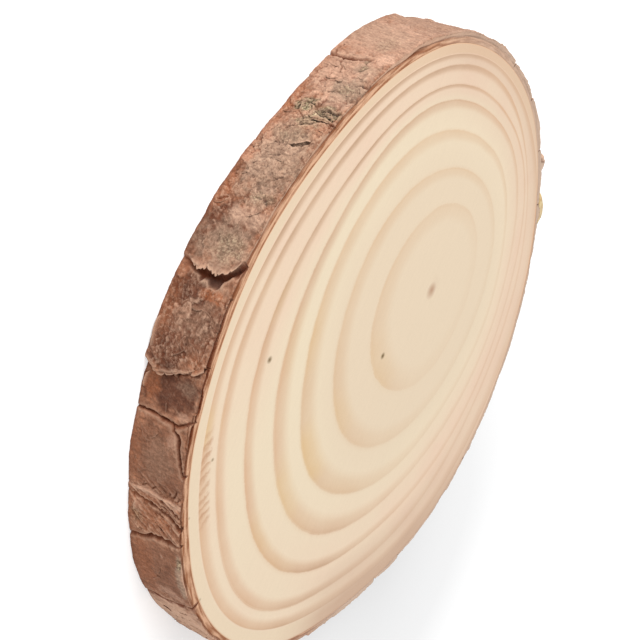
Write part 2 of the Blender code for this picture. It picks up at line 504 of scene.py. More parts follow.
# How late wood darkens through its share of the year
LATE_WOOD_CURVE = ((0.0, 0.0), (0.2, 0.24), (0.45, 0.62), (0.75, 0.84), (0.93, 1.0), (1.0, 0.75))
STREAK_ACROSS = (0.515, 0.857, 0.0)
STREAK_SPACING = 1.6
GRAIN_DARK, GRAIN_LIGHT = (0.4, 0.36, 0.32), (1.35, 1.35, 1.35)
SAW_LIGHT = (1.4, 1.4, 1.4)


def wood_finish():
    """The sawn face's material."""
    wood = Finish("sawn_pine")
    spot = wood.spot()
    flat_spot = wood.spot((1.0, 1.0, 0.0))
    years = wood.value("years")
    wobble = wood.noise(spot, size=5.0, detail=2.0) - 0.5
    fine_wobble = wood.noise(spot, size=0.6, detail=3.0) - 0.5
    share = (years + wobble * 0.06 + fine_wobble * 0.035).fraction()
    late_share = ((share - wood.value("late_start")) * wood.value("late_pace")).clamp()
    late = wood.ramp(late_share, *LATE_WOOD_CURVE)
    last_year = wood.ramp(share, (0.0, 0.5), (0.03, 0.2), (0.1, 0.0))
    clouds = wood.noise(spot, size=12.0, detail=3.0)
    broad_clouds = wood.noise(spot, size=26.0, detail=2.0)
    late = late + last_year * (years * 0.5).clamp()
    late = (late * wood.value("late_strength") * (0.6 + clouds * 0.8)).clamp()
    early_colour = wood.stain(EARLY_WOOD, "pale", 0.2, broad_clouds, 1.5, PALE_WOOD)
    early_colour = wood.stain(early_colour, "peach", 0.3, clouds, 1.3, PEACH_WOOD)
    early_colour = wood.mix(wood.value("outer"), early_colour, OUTER_WOOD)
    late_colour = wood.mix(wood.value("rosy"), LATE_WOOD, ROSY_WOOD)
    late_colour = wood.stain(late_colour, "honey", 0.4, clouds, 0.9, HONEY_WOOD)
    late_colour = wood.mix(wood.value("narrow") * late, late_colour, LINE_BROWN)
    colour = wood.mix(late, early_colour, late_colour)
    saw_lines = wood.noise(wood.spot((0.12, 1.6, 1.0)), size=0.9, detail=2.0, roughness=0.6)
    grain = wood.noise(spot, size=0.3, detail=3.0, roughness=0.7)
    colour = wood.mix(0.10, colour, wood.mix(grain, GRAIN_DARK, GRAIN_LIGHT), "MULTIPLY")
    colour = wood.mix(0.05, colour, wood.mix(saw_lines, GRAIN_DARK, SAW_LIGHT), "MULTIPLY")
    strokes = wood.along(flat_spot, STREAK_ACROSS) / STREAK_SPACING + wobble * 1.6 + fine_wobble * 0.9
    strokes = wood.ramp(strokes.fraction(), (0.0, 0.0), (0.25, 1.0), (0.5, 0.5), (0.8, 0.0), (1.0, 0.0))
    colour = wood.mix((wood.value("streaks") * strokes * (0.2 + clouds * 0.9)).clamp(), colour, STREAK_TAN)
    colour = wood.mix(wood.value("pith"), colour, PITH_BROWN)
    colour = wood.stain(colour, "side_tan", 0.8, clouds, 0.4, SIDE_TAN)
    for x, y, radius, darkness in SPECKS:
        middle = (x - BOX_MIDDLE[0], y - BOX_MIDDLE[1], 0.0)
        near = (1.3 - wood.away(flat_spot, middle) * (1.3 / radius)).clamp()
        colour = wood.mix(near * darkness, colour, SPECK_BROWN)
    colour = wood.mix(wood.value("edge_stain"), colour, STAIN_ORANGE)
    relief = grain * 0.5 + wood.noise(spot, size=0.12, detail=2.0, roughness=0.7) * 0.3 + saw_lines * 0.2
    return wood.set(Base_Color=colour, Roughness=0.74 - grain * 0.12, Specular_IOR_Level=0.22,
                    Normal=wood.bump(relief, strength=0.35, depth=0.06))


wood_material = wood_finish()
print("sawn wood has", len(wood_material.node_tree.nodes), "nodes")

# %% [markdown]
# ## The wood
# One closed piece: the upper sheet, a wall hidden inside the bark, and the lower sheet. The late wood
# stands a few hundredths of a millimetre proud, because a saw tears the soft early wood a little
# deeper.
# %% Wood body
# Late wood of each year from the pith out, as the share of the year where it begins and its strength,
# first on the side of the narrow dark lines, then on the side of the broad tan bands
LATE_WOOD_OF_YEAR = ((0.80, 0.35, 0.66, 0.75), (0.72, 0.55, 0.58, 0.85), (0.76, 0.75, 0.46, 0.95),
                     (0.76, 0.85, 0.40, 0.90), (0.74, 1.10, 0.62, 0.95), (0.60, 1.15, 0.64, 0.90),
                     (0.50, 1.15, 0.34, 0.95), (0.90, 0.00, 0.90, 0.00))
BROAD_BANDS_AT = 318.0
# Yellower patches as x, y, radius and strength
HONEY_PATCHES = ((4.0, -4.0, 10.0, 0.6), (16.0, -12.0, 9.0, 0.7), (22.0, -16.0, 9.0, 0.9),
                 (30.0, -18.0, 8.0, 0.8), (-3.0, -43.0, 6.0, 0.6), (19.0, -47.5, 4.0, 0.9),
                 (36.0, -10.0, 9.0, 0.4), (2.0, -30.0, 8.0, 0.5))
# How tan the last years are, by angle, and how that fades inwards over millimetres from the edge
SIDE_TAN_AT = ((0, 0.0), (8, 0.25), (18, 0.9), (26, 1.0), (50, 1.0), (62, 0.8), (74, 0.5), (88, 0.25),
               (125, 0.15), (150, 0.35), (200, 0.4), (214, 0.1), (225, 0.0), (360, 0.0))
SIDE_TAN_IN = ((0, 1.0), (2, 1.0), (3, 0.85), (4, 0.6), (5, 0.36), (8, 0.42), (10, 0.28), (13, 0.0))
# Angles between which the saw tore strokes, and the sides that differ in colour
STREAKS_FROM, STREAKS_TO = 291.0, 313.0
FAR_SIDE, PEACH_SIDE, PALE_SIDE, STAINED_SIDE = 88.0, 95.0, 225.0, 206.0
EDGE_STAIN_WIDTH = 0.22
PITH_RADIUS = 1.7


def soft_spot(x, y, middle_x, middle_y, radius, softness=2.0):
    """A round mark that fades out: 1 in the middle, 0 past its radius."""
    away = np.hypot(x - middle_x, y - middle_y) / radius
    return unit(1.0 - away ** softness)


def oblique_streaks(turn, years):
    """Where the last broad band of late wood was torn by the saw into slanting strokes."""
    degrees = np.degrees(turn) % 360.0
    inside = rising(degrees, STREAKS_FROM, 4.0) * falling(degrees, STREAKS_TO, 4.0)
    return inside * rising(years, 6.3, 0.15) * falling(years, 7.0, 0.06)


def wood_values(x, y, years):
    """The numbers that the wood's material reads."""
    turn = np.arctan2(y - PITH[1] * 0.5, x - PITH[0] * 0.5)

    def facing(side):
        return np.cos(turn - math.radians(side))

    broad = 0.5 + 0.5 * facing(BROAD_BANDS_AT)
    year = np.clip(years.astype(int), 0, len(LATE_WOOD_OF_YEAR) - 1)
    of_year = np.array(LATE_WOOD_OF_YEAR)[year].transpose(2, 0, 1)
    narrow_start, narrow_strength, broad_start, broad_strength = of_year
    start = narrow_start + (broad_start - narrow_start) * broad
    strength = narrow_strength + (broad_strength - narrow_strength) * broad
    far = unit(facing(FAR_SIDE) * 1.2)
    honey = sum(soft_spot(x, y, *patch[:2], patch[2]) * patch[3] for patch in HONEY_PATCHES)
    peach = rising(years, 2.2, 2.4) * (0.5 + 0.5 * facing(PEACH_SIDE))
    toward_pale_side = unit(facing(PALE_SIDE) * 1.3)
    peach = np.maximum(peach, 0.85 * rising(years, 3.8, 0.8) * toward_pale_side)
    peach = np.maximum(peach, 0.5 * rising(years, 5.4, 0.4))
    narrow = falling(broad, 0.97, 0.17) * rising(broad, 0.15, 0.2)
    narrow = narrow * rising(years, 3.0, 1.5) * (1.0 - far)
    stem_turn = np.arctan2(y, x)
    inside_edge = wood_edge(stem_turn) - np.hypot(x, y)
    tan_edge = unit(facing(STAINED_SIDE)) ** 2 * rising(years, 6.98, 0.08)
    edge_stain = unit(1.0 - inside_edge / EDGE_STAIN_WIDTH)
    side_tan = table_at(SIDE_TAN_AT, stem_turn) * np.interp(inside_edge, *zip(*SIDE_TAN_IN))
    outer = rising(years, 7.0, 0.08) * (1.0 - far)
    last_strip = far * rising(years, 6.9, 0.1)
    start = start * (1.0 - 0.9 * last_strip)
    strength = strength * (1.0 - 0.62 * far) + 0.45 * last_strip
    return {"years": years, "late_start": start, "late_pace": 1.0 / (1.0 - start),
            "late_strength": strength, "honey": unit(honey), "peach": peach, "outer": outer,
            "side_tan": side_tan, "narrow": narrow, "pale": rising(years, 1.8, 1.2),
            "rosy": rising(years, 3.0, 1.2), "pith": soft_spot(x, y, *PITH, PITH_RADIUS, 1.4),
            "streaks": oblique_streaks(stem_turn, years),
            "edge_stain": np.maximum(edge_stain, 0.35 * tan_edge)}


def wood_body():
    """The slice's wood as one closed mesh."""
    rows, columns = face_x.shape
    share = face_years - np.floor(face_years)
    relief = LATE_WOOD_RELIEF * (1.0 - unit(share) ** 2)
    top = place(face_x, face_y, THICKNESS - relief)
    bottom = place(face_x, face_y, relief)
    pith_top = place(PITH[0], PITH[1], THICKNESS - LATE_WOOD_RELIEF)
    pith_bottom = place(PITH[0], PITH[1], LATE_WOOD_RELIEF)
    points = np.concatenate([top, bottom, pith_top, pith_bottom])
    count = rows * columns
    sheet = grid_faces(rows, columns, True)
    faces = [sheet[:, ::-1], sheet + count]
    here = np.arange(columns)
    after = (here + 1) % columns
    rim, next_rim = (rows - 1) * columns + here, (rows - 1) * columns + after
    faces.append(np.stack([rim, next_rim, count + next_rim, count + rim], axis=1)[:, ::-1])
    middle_top, middle_bottom = np.full_like(here, 2 * count), np.full_like(here, 2 * count + 1)
    faces.append(np.stack([middle_top, here, after], axis=1))
    faces.append(np.stack([middle_bottom, count + after, count + here], axis=1))
    values = wood_values(face_x, face_y, face_years)
    both = {name: np.concatenate([np.ravel(part), np.ravel(part), [np.ravel(part)[0]] * 2])
            for name, part in values.items()}
    return make_piece("sawn_wood", points, faces, both, wood_material)


wood_body()

# %% [markdown]
# ## Where the bark parts
# Pine bark comes off in plates, and dark seams run between them from one sawn face to the other. A list
# gives the seams on the side that the camera sees, as the solid has them. Round the other side the same
# seeded rule as the solid's carries on to the first seam. Each plate then stands out or lies back a
# little, and bulges.
# %% Seams and plates
# Each seam's angles and depths at five heights, from the lower face to the upper
SEAMS = (
    ((209.0, 208.2, 208.0, 208.6, 209.4), (0.2, 0.3, 0.2, 0.2, 0.1)),
    ((226.9, 226.6, 226.2, 225.5, 225.0), (0.5, 0.9, 0.6, 0.0, 0.0)),
    ((232.6, 232.4, 232.2, 232.2, 231.9), (0.1, 0.2, 0.2, 0.4, 0.5)),
    ((238.6, 239.5, 241.4, 240.6, 241.0), (0.0, 0.1, 0.6, 0.9, 0.7)),
    ((247.2, 246.9, 246.5, 245.9, 245.0), (0.1, 0.2, 0.5, 0.8, 0.3)),
    ((253.4, 253.2, 252.9, 252.4, 252.0), (0.2, 0.1, 0.1, 0.3, 0.2)),
    ((261.2, 261.5, 261.8, 261.6, 262.0), (0.2, 0.3, 0.3, 0.2, 0.1)),
    ((268.0, 268.7, 268.9, 268.8, 266.2), (0.1, 0.6, 1.5, 1.7, 0.8)),
    ((283.7, 285.3, 284.4, 283.6, 281.6), (0.3, 0.2, 0.2, 0.2, 0.3)),
    ((291.5, 291.4, 291.5, 291.7, 290.2), (0.9, 0.8, 1.0, 0.6, 0.3)),
    ((304.4, 304.2, 304.1, 303.9, 303.7), (0.3, 0.3, 0.3, 0.3, 0.3)),
    ((305.8, 305.9, 306.4, 306.9, 308.0), (0.2, 0.3, 0.6, 0.6, 0.5)),
    ((314.2, 313.3, 312.2, 311.8, 311.7), (0.7, 0.9, 0.9, 0.8, 0.6)),
    ((328.6, 328.1, 327.8, 327.4, 326.4), (1.1, 1.3, 1.3, 1.2, 1.0)),
    ((340.5, 340.0, 339.4, 339.2, 338.8), (0.3, 0.4, 0.5, 0.4, 0.2)),
)
# How far each of them has opened, and its half widths in degrees on either side
SEAM_OPEN = (0.4, 1.0, 0.3, 0.7, 0.2, 0.15, 0.3, 1.0, 1.0, 1.0, 0.8, 0.9, 1.0, 1.0, 1.0)
SEAM_WIDTHS = ((0.6, 0.6), (0.25, 0.35), (0.15, 0.2), (0.2, 0.3), (0.15, 0.25), (0.2, 0.3), (0.35, 0.3),
               (0.4, 2.1), (0.2, 0.3), (0.28, 0.34), (0.3, 0.25), (0.3, 0.4), (0.42, 0.5), (0.42, 0.46),
               (0.3, 0.4))
# How far the plate after each seam stands out at its left edge, below and above, the same at its right
# edge, and its bulge
PLATES = (
    (1.0, 0.0, 0.4, 0.0, 0.15),
    (0.1, 0.0, -0.2, 0.0, 0.15),
    (-0.4, 0.0, -0.6, 0.0, 0.15),
    (-0.7, 0.0, -0.8, 0.0, 0.15),
    (-0.6, 0.1, -0.4, 0.1, 0.15),
    (-0.4, 0.1, -0.4, 0.1, 0.2),
    (-0.4, 0.1, -0.3, 0.3, 0.15),
    (-0.5, -0.2, 0.5, 0.2, 0.2),
    (-0.7, -0.4, -0.2, -0.3, 0.15),
    (-0.1, 0.2, -0.3, 0.0, 0.25),
    (-0.3, 0.2, -0.5, 0.0, 0.1),
    (-0.4, -0.1, -0.2, 0.1, 0.25),
    (-0.1, 0.2, 0.2, 0.0, 0.25),
    (0.0, -0.2, 0.0, -0.1, 0.15),
    (0.0, 0.0, 0.0, 0.0, 0.2),
)
HIDDEN_SEAMS = 15


def carry_on_round():
    """The seen seams, as far as they have opened, with their widths and plates, then the hidden ones."""
    draw = random.Random(11)
    seams = [(angles, tuple(depth * share for depth in depths))
             for (angles, depths), share in zip(SEAMS, SEAM_OPEN)]
    widths, plates = list(SEAM_WIDTHS), list(PLATES)
    first, last = seams[0][0], seams[-1][0]
    for index in range(1, HIDDEN_SEAMS + 1):
        share = index / (HIDDEN_SEAMS + 1)
        shift = draw.uniform(-2.6, 2.6)
        angles = [begin + (end + 360.0 - begin) * share + shift + draw.uniform(-1.1, 1.1)
                  for begin, end in zip(last, first)]
        seams.append((tuple(angles), tuple(draw.uniform(0.2, 0.9) for _ in first)))
        plates.append((*[draw.uniform(-0.3, 0.3) for _ in range(4)], draw.uniform(0.1, 0.3)))
        widths.append(((0.2, 0.35), (0.15, 0.8), (0.3, 0.25))[index % 3])
    return seams, widths, plates


all_seams, all_widths, all_plates = carry_on_round()
print(len(all_seams), "seams round the stem")

# %% [markdown]
# ## Relief of the bark
# The bark is worked out as one sheet of heights over angle and height, fine enough to hold every crack
# the picture shows. It adds up: the plates' own shape, the seams, short side cracks drawn as lines,
# thin layers that have flaked off in steps, ridges along the stem, fine grit and pits, and crumbled
# edges.
# %% The bark's sheet
FIRST_ANGLE, SEEN_TO, LAST_ANGLE = 200.0, 340.0, 560.0
DEGREE = FULL_TURN / 360.0
MM_A_DEGREE = CIRCUMFERENCE / 360.0
FRONT_STEP, BACK_STEP = 0.15, 0.2
WALL_ROWS = 68
bark_angles = np.concatenate([np.arange(FIRST_ANGLE, SEEN_TO, FRONT_STEP),
                              np.arange(SEEN_TO, LAST_ANGLE, BACK_STEP)])
bark_turn = bark_angles * DEGREE
bark_heights = np.linspace(0.0, THICKNESS, WALL_ROWS)
sheet_angle, sheet_height = np.meshgrid(bark_angles, bark_heights)
sheet_turn = sheet_angle * DEGREE


def sheet_lumps(width, length, seed, octaves=1):
    """Random heights over the sheet, with lumps of a width and a length in millimetres."""
    return bark_lumps(sheet_turn, sheet_height, width, length, seed, octaves)


print("bark sheet", sheet_angle.shape)

# %% [markdown]
# Cracks are never straight. Before anything is drawn on the sheet, its coordinates are pushed about by
# a little noise, so each seam and crack comes out jagged, and plates get ragged edges.
# %% Plates and seams
JAG_DEGREES, JAG_HEIGHT = 0.30, 0.25
jagged_angle = sheet_angle + JAG_DEGREES * sheet_lumps(2.0, 1.4, seed=21, octaves=3)
jagged_height = sheet_height + JAG_HEIGHT * sheet_lumps(1.6, 1.6, seed=31, octaves=2)


def ramp_between(values, height):
    """Reads five values given at even heights from the lower face to the upper."""
    return np.interp(height / THICKNESS * 4.0, np.arange(5), values)


def plates_and_seams():
    """Height of the plates, the depth of the seams, and each point's place across its plate."""
    relief = np.zeros_like(sheet_angle)
    depth = np.zeros_like(sheet_angle)
    across_plate = np.zeros_like(sheet_angle)
    rise = unit(jagged_height / THICKNESS)
    count = len(all_seams)
    spread = 0.9 + 0.8 * sheet_lumps(2.5, 1.7, seed=61, octaves=2)
    for turn_shift in (-360.0, 0.0):
        for index in range(count):
            left = ramp_between(all_seams[index][0], jagged_height) + turn_shift
            if index + 1 < count:
                right = ramp_between(all_seams[index + 1][0], jagged_height) + turn_shift
            else:
                right = ramp_between(all_seams[0][0], jagged_height) + 360.0 + turn_shift
            inside = (jagged_angle >= left) & (jagged_angle < right)
            across = unit((jagged_angle - left) / (right - left))
            left_low, left_high, right_low, right_high, crown = all_plates[index]
            low_stand = left_low + (right_low - left_low) * across
            high_stand = left_high + (right_high - left_high) * across
            stand = low_stand + (high_stand - low_stand) * rise + crown * 4.0 * across * (1.0 - across)
            relief = np.where(inside, stand, relief)
            across_plate = np.where(inside, across, across_plate)
            seam_depth = ramp_between(all_seams[index][1], jagged_height)
            away = jagged_angle - left
            half = np.where(away < 0.0, all_widths[index][0], all_widths[index][1]) * spread
            depth = np.maximum(depth, seam_depth * unit(1.0 - np.abs(away) / half) ** 0.8)
    return relief, depth, across_plate


plate_relief, seam_depth, across_plate = plates_and_seams()
print("plates from", plate_relief.min().round(2), "to", plate_relief.max().round(2), "mm")

# %% [markdown]
# Between the long seams run short cracks. Each is a line of points on the bark, as angle and height,
# with how wide and deep it is in millimetres. Round the hidden side a seeded rule scatters more of
# them.
# %% Short cracks
# Points of each crack, then its half width and its depth
CRACKS = (
    (((291.7, 6.6), (292.4, 7.6), (293.2, 8.3), (295.4, 8.7), (296.6, 9.3), (299.0, 9.9)), 0.36, 0.90),
    (((286.0, 10.0), (288.5, 9.95), (290.8, 9.7), (292.5, 9.85), (294.6, 10.0)), 0.12, 0.35),
    (((226.4, 2.6), (227.6, 2.4), (229.0, 3.6), (230.3, 4.2)), 0.14, 0.35),
    (((224.4, 0.9), (225.8, 0.6), (226.6, 1.0)), 0.14, 0.30),
    (((240.9, 9.6), (240.8, 8.0), (241.4, 6.5), (242.2, 4.9)), 0.15, 0.50),
    (((241.2, 6.4), (240.4, 4.8)), 0.12, 0.35),
    (((238.9, 9.2), (239.3, 7.4), (239.0, 5.6)), 0.28, 0.35),
    (((237.2, 4.2), (238.4, 3.4), (238.2, 2.2)), 0.20, 0.30),
    (((245.2, 8.4), (245.5, 7.9), (246.1, 7.5), (246.5, 6.4), (246.4, 5.7)), 0.20, 0.60),
    (((238.6, 9.4), (238.8, 8.2), (238.4, 7.2), (238.9, 6.3)), 0.30, 0.60),
    (((240.2, 8.8), (239.6, 7.6), (239.9, 6.8), (239.2, 5.8)), 0.24, 0.55),
    (((238.2, 4.6), (238.0, 3.6), (238.7, 2.9), (239.6, 2.6)), 0.30, 0.55),
    (((240.8, 5.6), (240.0, 4.9), (239.4, 5.2), (238.8, 4.6)), 0.18, 0.45),
    (((241.0, 7.9), (242.2, 6.6), (242.6, 5.2)), 0.22, 0.55),
    (((241.2, 6.4), (240.6, 5.2), (241.2, 4.2)), 0.16, 0.40),
    (((232.0, 9.8), (231.9, 8.9), (232.2, 8.3)), 0.22, 0.40),
    (((226.3, 6.6), (226.9, 6.4), (227.2, 6.7)), 0.18, 0.30),
    (((228.2, 7.6), (228.9, 7.0), (229.2, 6.6)), 0.18, 0.30),
    (((252.0, 8.2), (252.9, 7.1)), 0.12, 0.30),
    (((248.6, 5.2), (249.3, 4.0), (249.2, 2.6)), 0.10, 0.25),
    (((257.7, 2.2), (258.5, 0.8)), 0.18, 0.40),
    (((255.6, 9.4), (256.3, 8.2), (256.6, 6.2)), 0.14, 0.20),
    (((306.0, 9.9), (305.4, 8.6), (305.1, 7.2), (305.0, 6.2)), 0.34, 0.70),
    (((307.0, 9.7), (306.5, 8.2), (306.2, 6.4)), 0.16, 0.50),
    (((308.5, 9.9), (307.6, 8.9), (307.0, 7.4), (306.6, 5.6), (306.5, 4.2)), 0.34, 0.75),
    (((309.2, 9.0), (308.6, 7.4)), 0.14, 0.25),
    (((302.7, 9.6), (303.8, 9.1)), 0.10, 0.30),
    (((301.8, 9.1), (302.7, 8.8), (303.6, 8.3)), 0.16, 0.45),
    (((302.6, 8.0), (303.6, 7.4)), 0.10, 0.30),
    (((302.6, 5.2), (303.6, 4.4)), 0.16, 0.40),
    (((303.6, 4.6), (303.0, 3.6), (303.6, 2.6)), 0.14, 0.35),
    (((302.6, 3.2), (303.6, 2.6)), 0.12, 0.30),
    (((309.4, 4.6), (309.0, 2.0)), 0.10, 0.20),
    (((282.2, 8.9), (283.0, 8.2), (283.4, 7.4)), 0.12, 0.30),
    (((280.0, 1.4), (281.0, 0.5)), 0.16, 0.40),
    (((268.0, 3.2), (268.4, 3.7), (268.9, 3.3), (268.8, 2.7), (268.3, 2.5)), 0.10, 0.30),
    (((271.2, 10.0), (272.2, 9.5), (272.8, 9.7)), 0.18, 0.40),
    (((326.4, 8.6), (327.4, 8.0), (328.2, 8.4)), 0.20, 0.30),
)
HIDDEN_CRACKS = 40


def scattered_cracks():
    """Short wandering cracks round the side that isn't seen."""
    draw = np.random.default_rng(5)
    cracks = []
    for _ in range(HIDDEN_CRACKS):
        angle, height = draw.uniform(SEEN_TO + 5.0, LAST_ANGLE - 5.0), draw.uniform(0.5, 9.5)
        points = [(angle, height)]
        lean = draw.uniform(-0.6, 0.6)
        for _ in range(draw.integers(1, 4)):
            angle += lean + draw.uniform(-0.7, 0.7)
            height += draw.uniform(0.6, 1.6)
            points.append((angle, height))
        cracks.append((tuple(points), draw.uniform(0.1, 0.22), draw.uniform(0.2, 0.55)))
    return cracks


def away_from_line(points):
    """Distance in millimetres from every point of the sheet to a line of points."""
    best = np.full_like(sheet_angle, 1e3)
    for (a0, z0), (a1, z1) in zip(points, points[1:]):
        dx, dz = (a1 - a0) * MM_A_DEGREE, z1 - z0
        px, pz = (jagged_angle - a0) * MM_A_DEGREE, jagged_height - z0
        along = unit((px * dx + pz * dz) / (dx * dx + dz * dz))
        best = np.minimum(best, np.hypot(px - along * dx, pz - along * dz))
    return best


crack_depth = np.zeros_like(sheet_angle)
crack_spread = 0.95 + 0.8 * sheet_lumps(1.4, 1.2, seed=67, octaves=2)
for points, half_width, depth in [*CRACKS, *scattered_cracks()]:
    notch = depth * unit(1.0 - away_from_line(points) / (half_width * crack_spread))
    crack_depth = np.maximum(crack_depth, notch)
print(len(CRACKS) + HIDDEN_CRACKS, "short cracks")

# %% [markdown]
# How rough the bark is changes round the stem. Some plates are smooth, some have flaked in layers, one
# has fine worm-like ridges and one has splintered along the stem. A short table gives the strength of
# each kind of roughness by angle, and beyond the seen side slow noise chooses.
# %% Kinds of roughness by angle
# Angles, then how flaky, wormy and fibrous the bark is at each
ROUGH_ANGLES = (200, 222, 226, 236, 242, 258, 262, 268, 272, 284, 285, 291, 292, 300, 303, 304, 312,
                313, 330, 340)
FLAKY = (0.2, 0.2, 0.5, 0.9, 0.85, 0.75, 0.5, 0.4, 0.7, 0.7, 0.2, 0.2, 0.25, 0.25, 0.3, 0.5, 0.5, 0.2,
         0.3, 0.7)
WORMY = (0.1, 0.15, 0.4, 0.5, 0.8, 0.8, 0.6, 0.4, 1.2, 1.2, 0.2, 0.2, 0.25, 0.25, 0.3, 0.3, 0.3, 0.15,
         0.2, 0.4)
FIBROUS = (0.1, 0.1, 0.2, 0.2, 0.2, 0.6, 0.5, 0.1, 0.1, 0.1, 0.3, 0.3, 0.2, 0.2, 0.8, 1.1, 1.1, 0.2,
           0.2, 0.3)


def by_angle(strengths, seed):
    """A strength over the sheet: from the table where the bark is seen, and slow noise beyond."""
    seen = np.interp(sheet_angle, ROUGH_ANGLES, strengths)
    hidden = np.clip(0.55 + 0.6 * sheet_lumps(14.0, 30.0, seed=seed), 0.15, 1.0)
    share = rising(sheet_angle, SEEN_TO - 2.0, 4.0) * falling(sheet_angle, LAST_ANGLE, 4.0)
    return seen + (hidden - seen) * share


flaky = by_angle(FLAKY, seed=41)
wormy = by_angle(WORMY, seed=43)
fibrous = by_angle(FIBROUS, seed=47)
print("mean strengths", flaky.mean().round(2), wormy.mean().round(2), fibrous.mean().round(2))

# %% [markdown]
# A flaked surface is a map of terraces: noise cut into steps, with each step a thin layer of cork that
# has come away. On the terraces lie scales, each the ground nearest to one of many scattered points,
# with its own height and tilt. Worm-like ridges come from folding noise at its middle value, and ridges
# along the stem are noise drawn out in one direction.
# %% Layers, ridges and grit
LAYER = 0.13
SCALE_ROWS = 61
SCALE_GAP = 0.16
# How far the ridges lean from upright, in radians a millimetre
LEAN = 0.012


def terraces(values, steps):
    """Cuts smooth values into flat steps with short steep edges."""
    level = values * steps
    base = np.floor(level)
    edge = unit((level - base - 0.78) / 0.22)
    return base + edge + (level - base) * 0.25


def scales(width, length, seed, offset, tilt):
    """Relief, tone and closeness to a rim for irregular scales of a width and length in millimetres."""
    around = int(CIRCUMFERENCE / width)
    draw = np.random.default_rng(seed)
    jitter = draw.uniform(0.1, 0.9, (2, around, SCALE_ROWS))
    numbers = draw.uniform(-1.0, 1.0, (3, around, SCALE_ROWS))
    warps = [0.35 * sheet_lumps(width * 0.5, length * 0.5, seed=seed + shift, octaves=3) for shift in (1, 9)]
    across = sheet_turn / FULL_TURN * around + warps[0]
    along = sheet_height / length + 11.0 + warps[1]
    cell, row = np.floor(across).astype(int), np.floor(along).astype(int)
    nearest = np.full_like(across, 1e3)
    second = np.full_like(across, 1e3)
    relief, tone = np.zeros_like(across), np.zeros_like(across)
    for step in (-1, 0, 1):
        for rise in (-1, 0, 1):
            where = (cell + step) % around, (row + rise) % SCALE_ROWS
            dx = (across - (cell + step + jitter[0][where])) * width
            dz = (along - (row + rise + jitter[1][where])) * length
            away = np.hypot(dx, dz)
            closer = away < nearest
            second = np.where(closer, nearest, np.minimum(second, away))
            nearest = np.where(closer, away, nearest)
            level = numbers[0][where] * offset + (numbers[1][where] * dx + numbers[2][where] * dz) * tilt
            relief = np.where(closer, level, relief)
            tone = np.where(closer, numbers[0][where], tone)
    return relief, tone, unit(1.0 - (second - nearest) / SCALE_GAP)


fray = 0.16 * sheet_lumps(0.7, 0.6, seed=49, octaves=2)
layers = terraces(sheet_lumps(5.2, 4.6, seed=51, octaves=3) + fray, 3.0) * LAYER
big_scales, big_tone, big_rims = scales(3.4, 2.8, seed=53, offset=0.14, tilt=0.09)
small_scales, small_tone, small_rims = scales(1.3, 1.05, seed=57, offset=0.06, tilt=0.10)
small_layers = big_scales + small_scales - 0.05 * big_rims
scale_tone = 0.6 * big_tone + 0.4 * small_tone
worms = 0.05 - np.abs(sheet_lumps(1.7, 1.3, seed=71, octaves=4)) * 0.28
slanted_turn = sheet_turn - LEAN * sheet_height
ridges = bark_lumps(slanted_turn, sheet_height, 0.9, 6.0, seed=81, octaves=3) * 0.26
ridges = ridges + bark_lumps(slanted_turn, sheet_height, 0.42, 4.5, seed=83, octaves=2) * 0.12
grit = sheet_lumps(0.6, 0.5, seed=91, octaves=2) * 0.05
swell = sheet_lumps(9.0, 7.0, seed=101, octaves=2) * 0.25
crackle = unit(1.0 - np.abs(sheet_lumps(1.6, 1.3, seed=105, octaves=3)) / 0.09)
crackle = crackle * unit(sheet_lumps(3.0, 2.4, seed=109, octaves=2) * 2.5 + 0.2) * 0.14
pits = unit(sheet_lumps(1.1, 1.0, seed=111) - 0.7) * 0.7 * flaky
print("layers", layers.min().round(2), layers.max().round(2), "worms", worms.min().round(2))

# %% [markdown]
# Twigs and knobs under the bark push it out in small humps near the upper face, as on the solid.
# Towards the lower face the seen side wears smooth, where the slice has been slid about.
# %% Humps, and the sum
# Angle and half width in degrees, height, half height and how far each stands out
HUMPS = ((134.7, 4.6, 7.6, 2.6, 2.2), (146.2, 1.9, 8.6, 1.6, 2.8), (77.6, 2.0, 8.6, 1.6, 0.8))


def humps():
    """How far the humps stand out over the sheet."""
    total = np.zeros_like(sheet_angle)
    for angle, half_width, height, half_height, stand in HUMPS:
        away = ((sheet_angle - angle + 180.0) % 360.0 - 180.0) / half_width
        near = unit(1.0 - away ** 2 - ((sheet_height - height) / half_height) ** 2)
        total += stand * np.sqrt(near) * (0.85 + 0.3 * sheet_lumps(1.2, 1.0, seed=117, octaves=2))
    return total


seen = falling(sheet_angle, SEEN_TO + 2.0, 4.0)
calm_low = 1.0 - 0.75 * seen * unit(1.25 - sheet_height / 0.8)
roughness = (layers + small_layers - crackle) * flaky + worms * wormy + ridges * fibrous - pits
roughness = roughness + grit * (0.35 + 0.65 * flaky)
openings = np.maximum(seam_depth, crack_depth) * (0.4 + 0.6 * calm_low)
bark_relief = plate_relief + swell + roughness * calm_low + humps() - openings
print("relief from", bark_relief.min().round(2), "to", bark_relief.max().round(2), "mm")

# %% [markdown]
# The saw crumbles the edges. Near each sawn face, where the teeth went in or came out, the bark is cut
# back in small bites.
# %% Crumbled edges
# The least and the most bitten off, in millimetres
UPPER_BITE = (0.03, 0.25)
LOWER_BITE = (0.03, 0.22)


def bites(distance, least_and_most, seed):
    """How far the bark is cut back at a distance from a sawn face."""
    least, most = least_and_most
    ragged = bark_lumps(sheet_turn, 0.0 * sheet_height, 1.3, 1.0, seed, 3)
    size = least + (most - least) * unit(0.35 + 0.9 * ragged)
    return size * unit(1.0 - distance / size) ** 1.6


upper_bites = bites(THICKNESS - sheet_height, UPPER_BITE, seed=121)
lower_bites = bites(sheet_height, LOWER_BITE, seed=131)
bark_radius = outline(sheet_turn) + bark_relief - upper_bites - lower_bites
print("bark radius", bark_radius.min().round(1), "to", bark_radius.max().round(1), "mm")
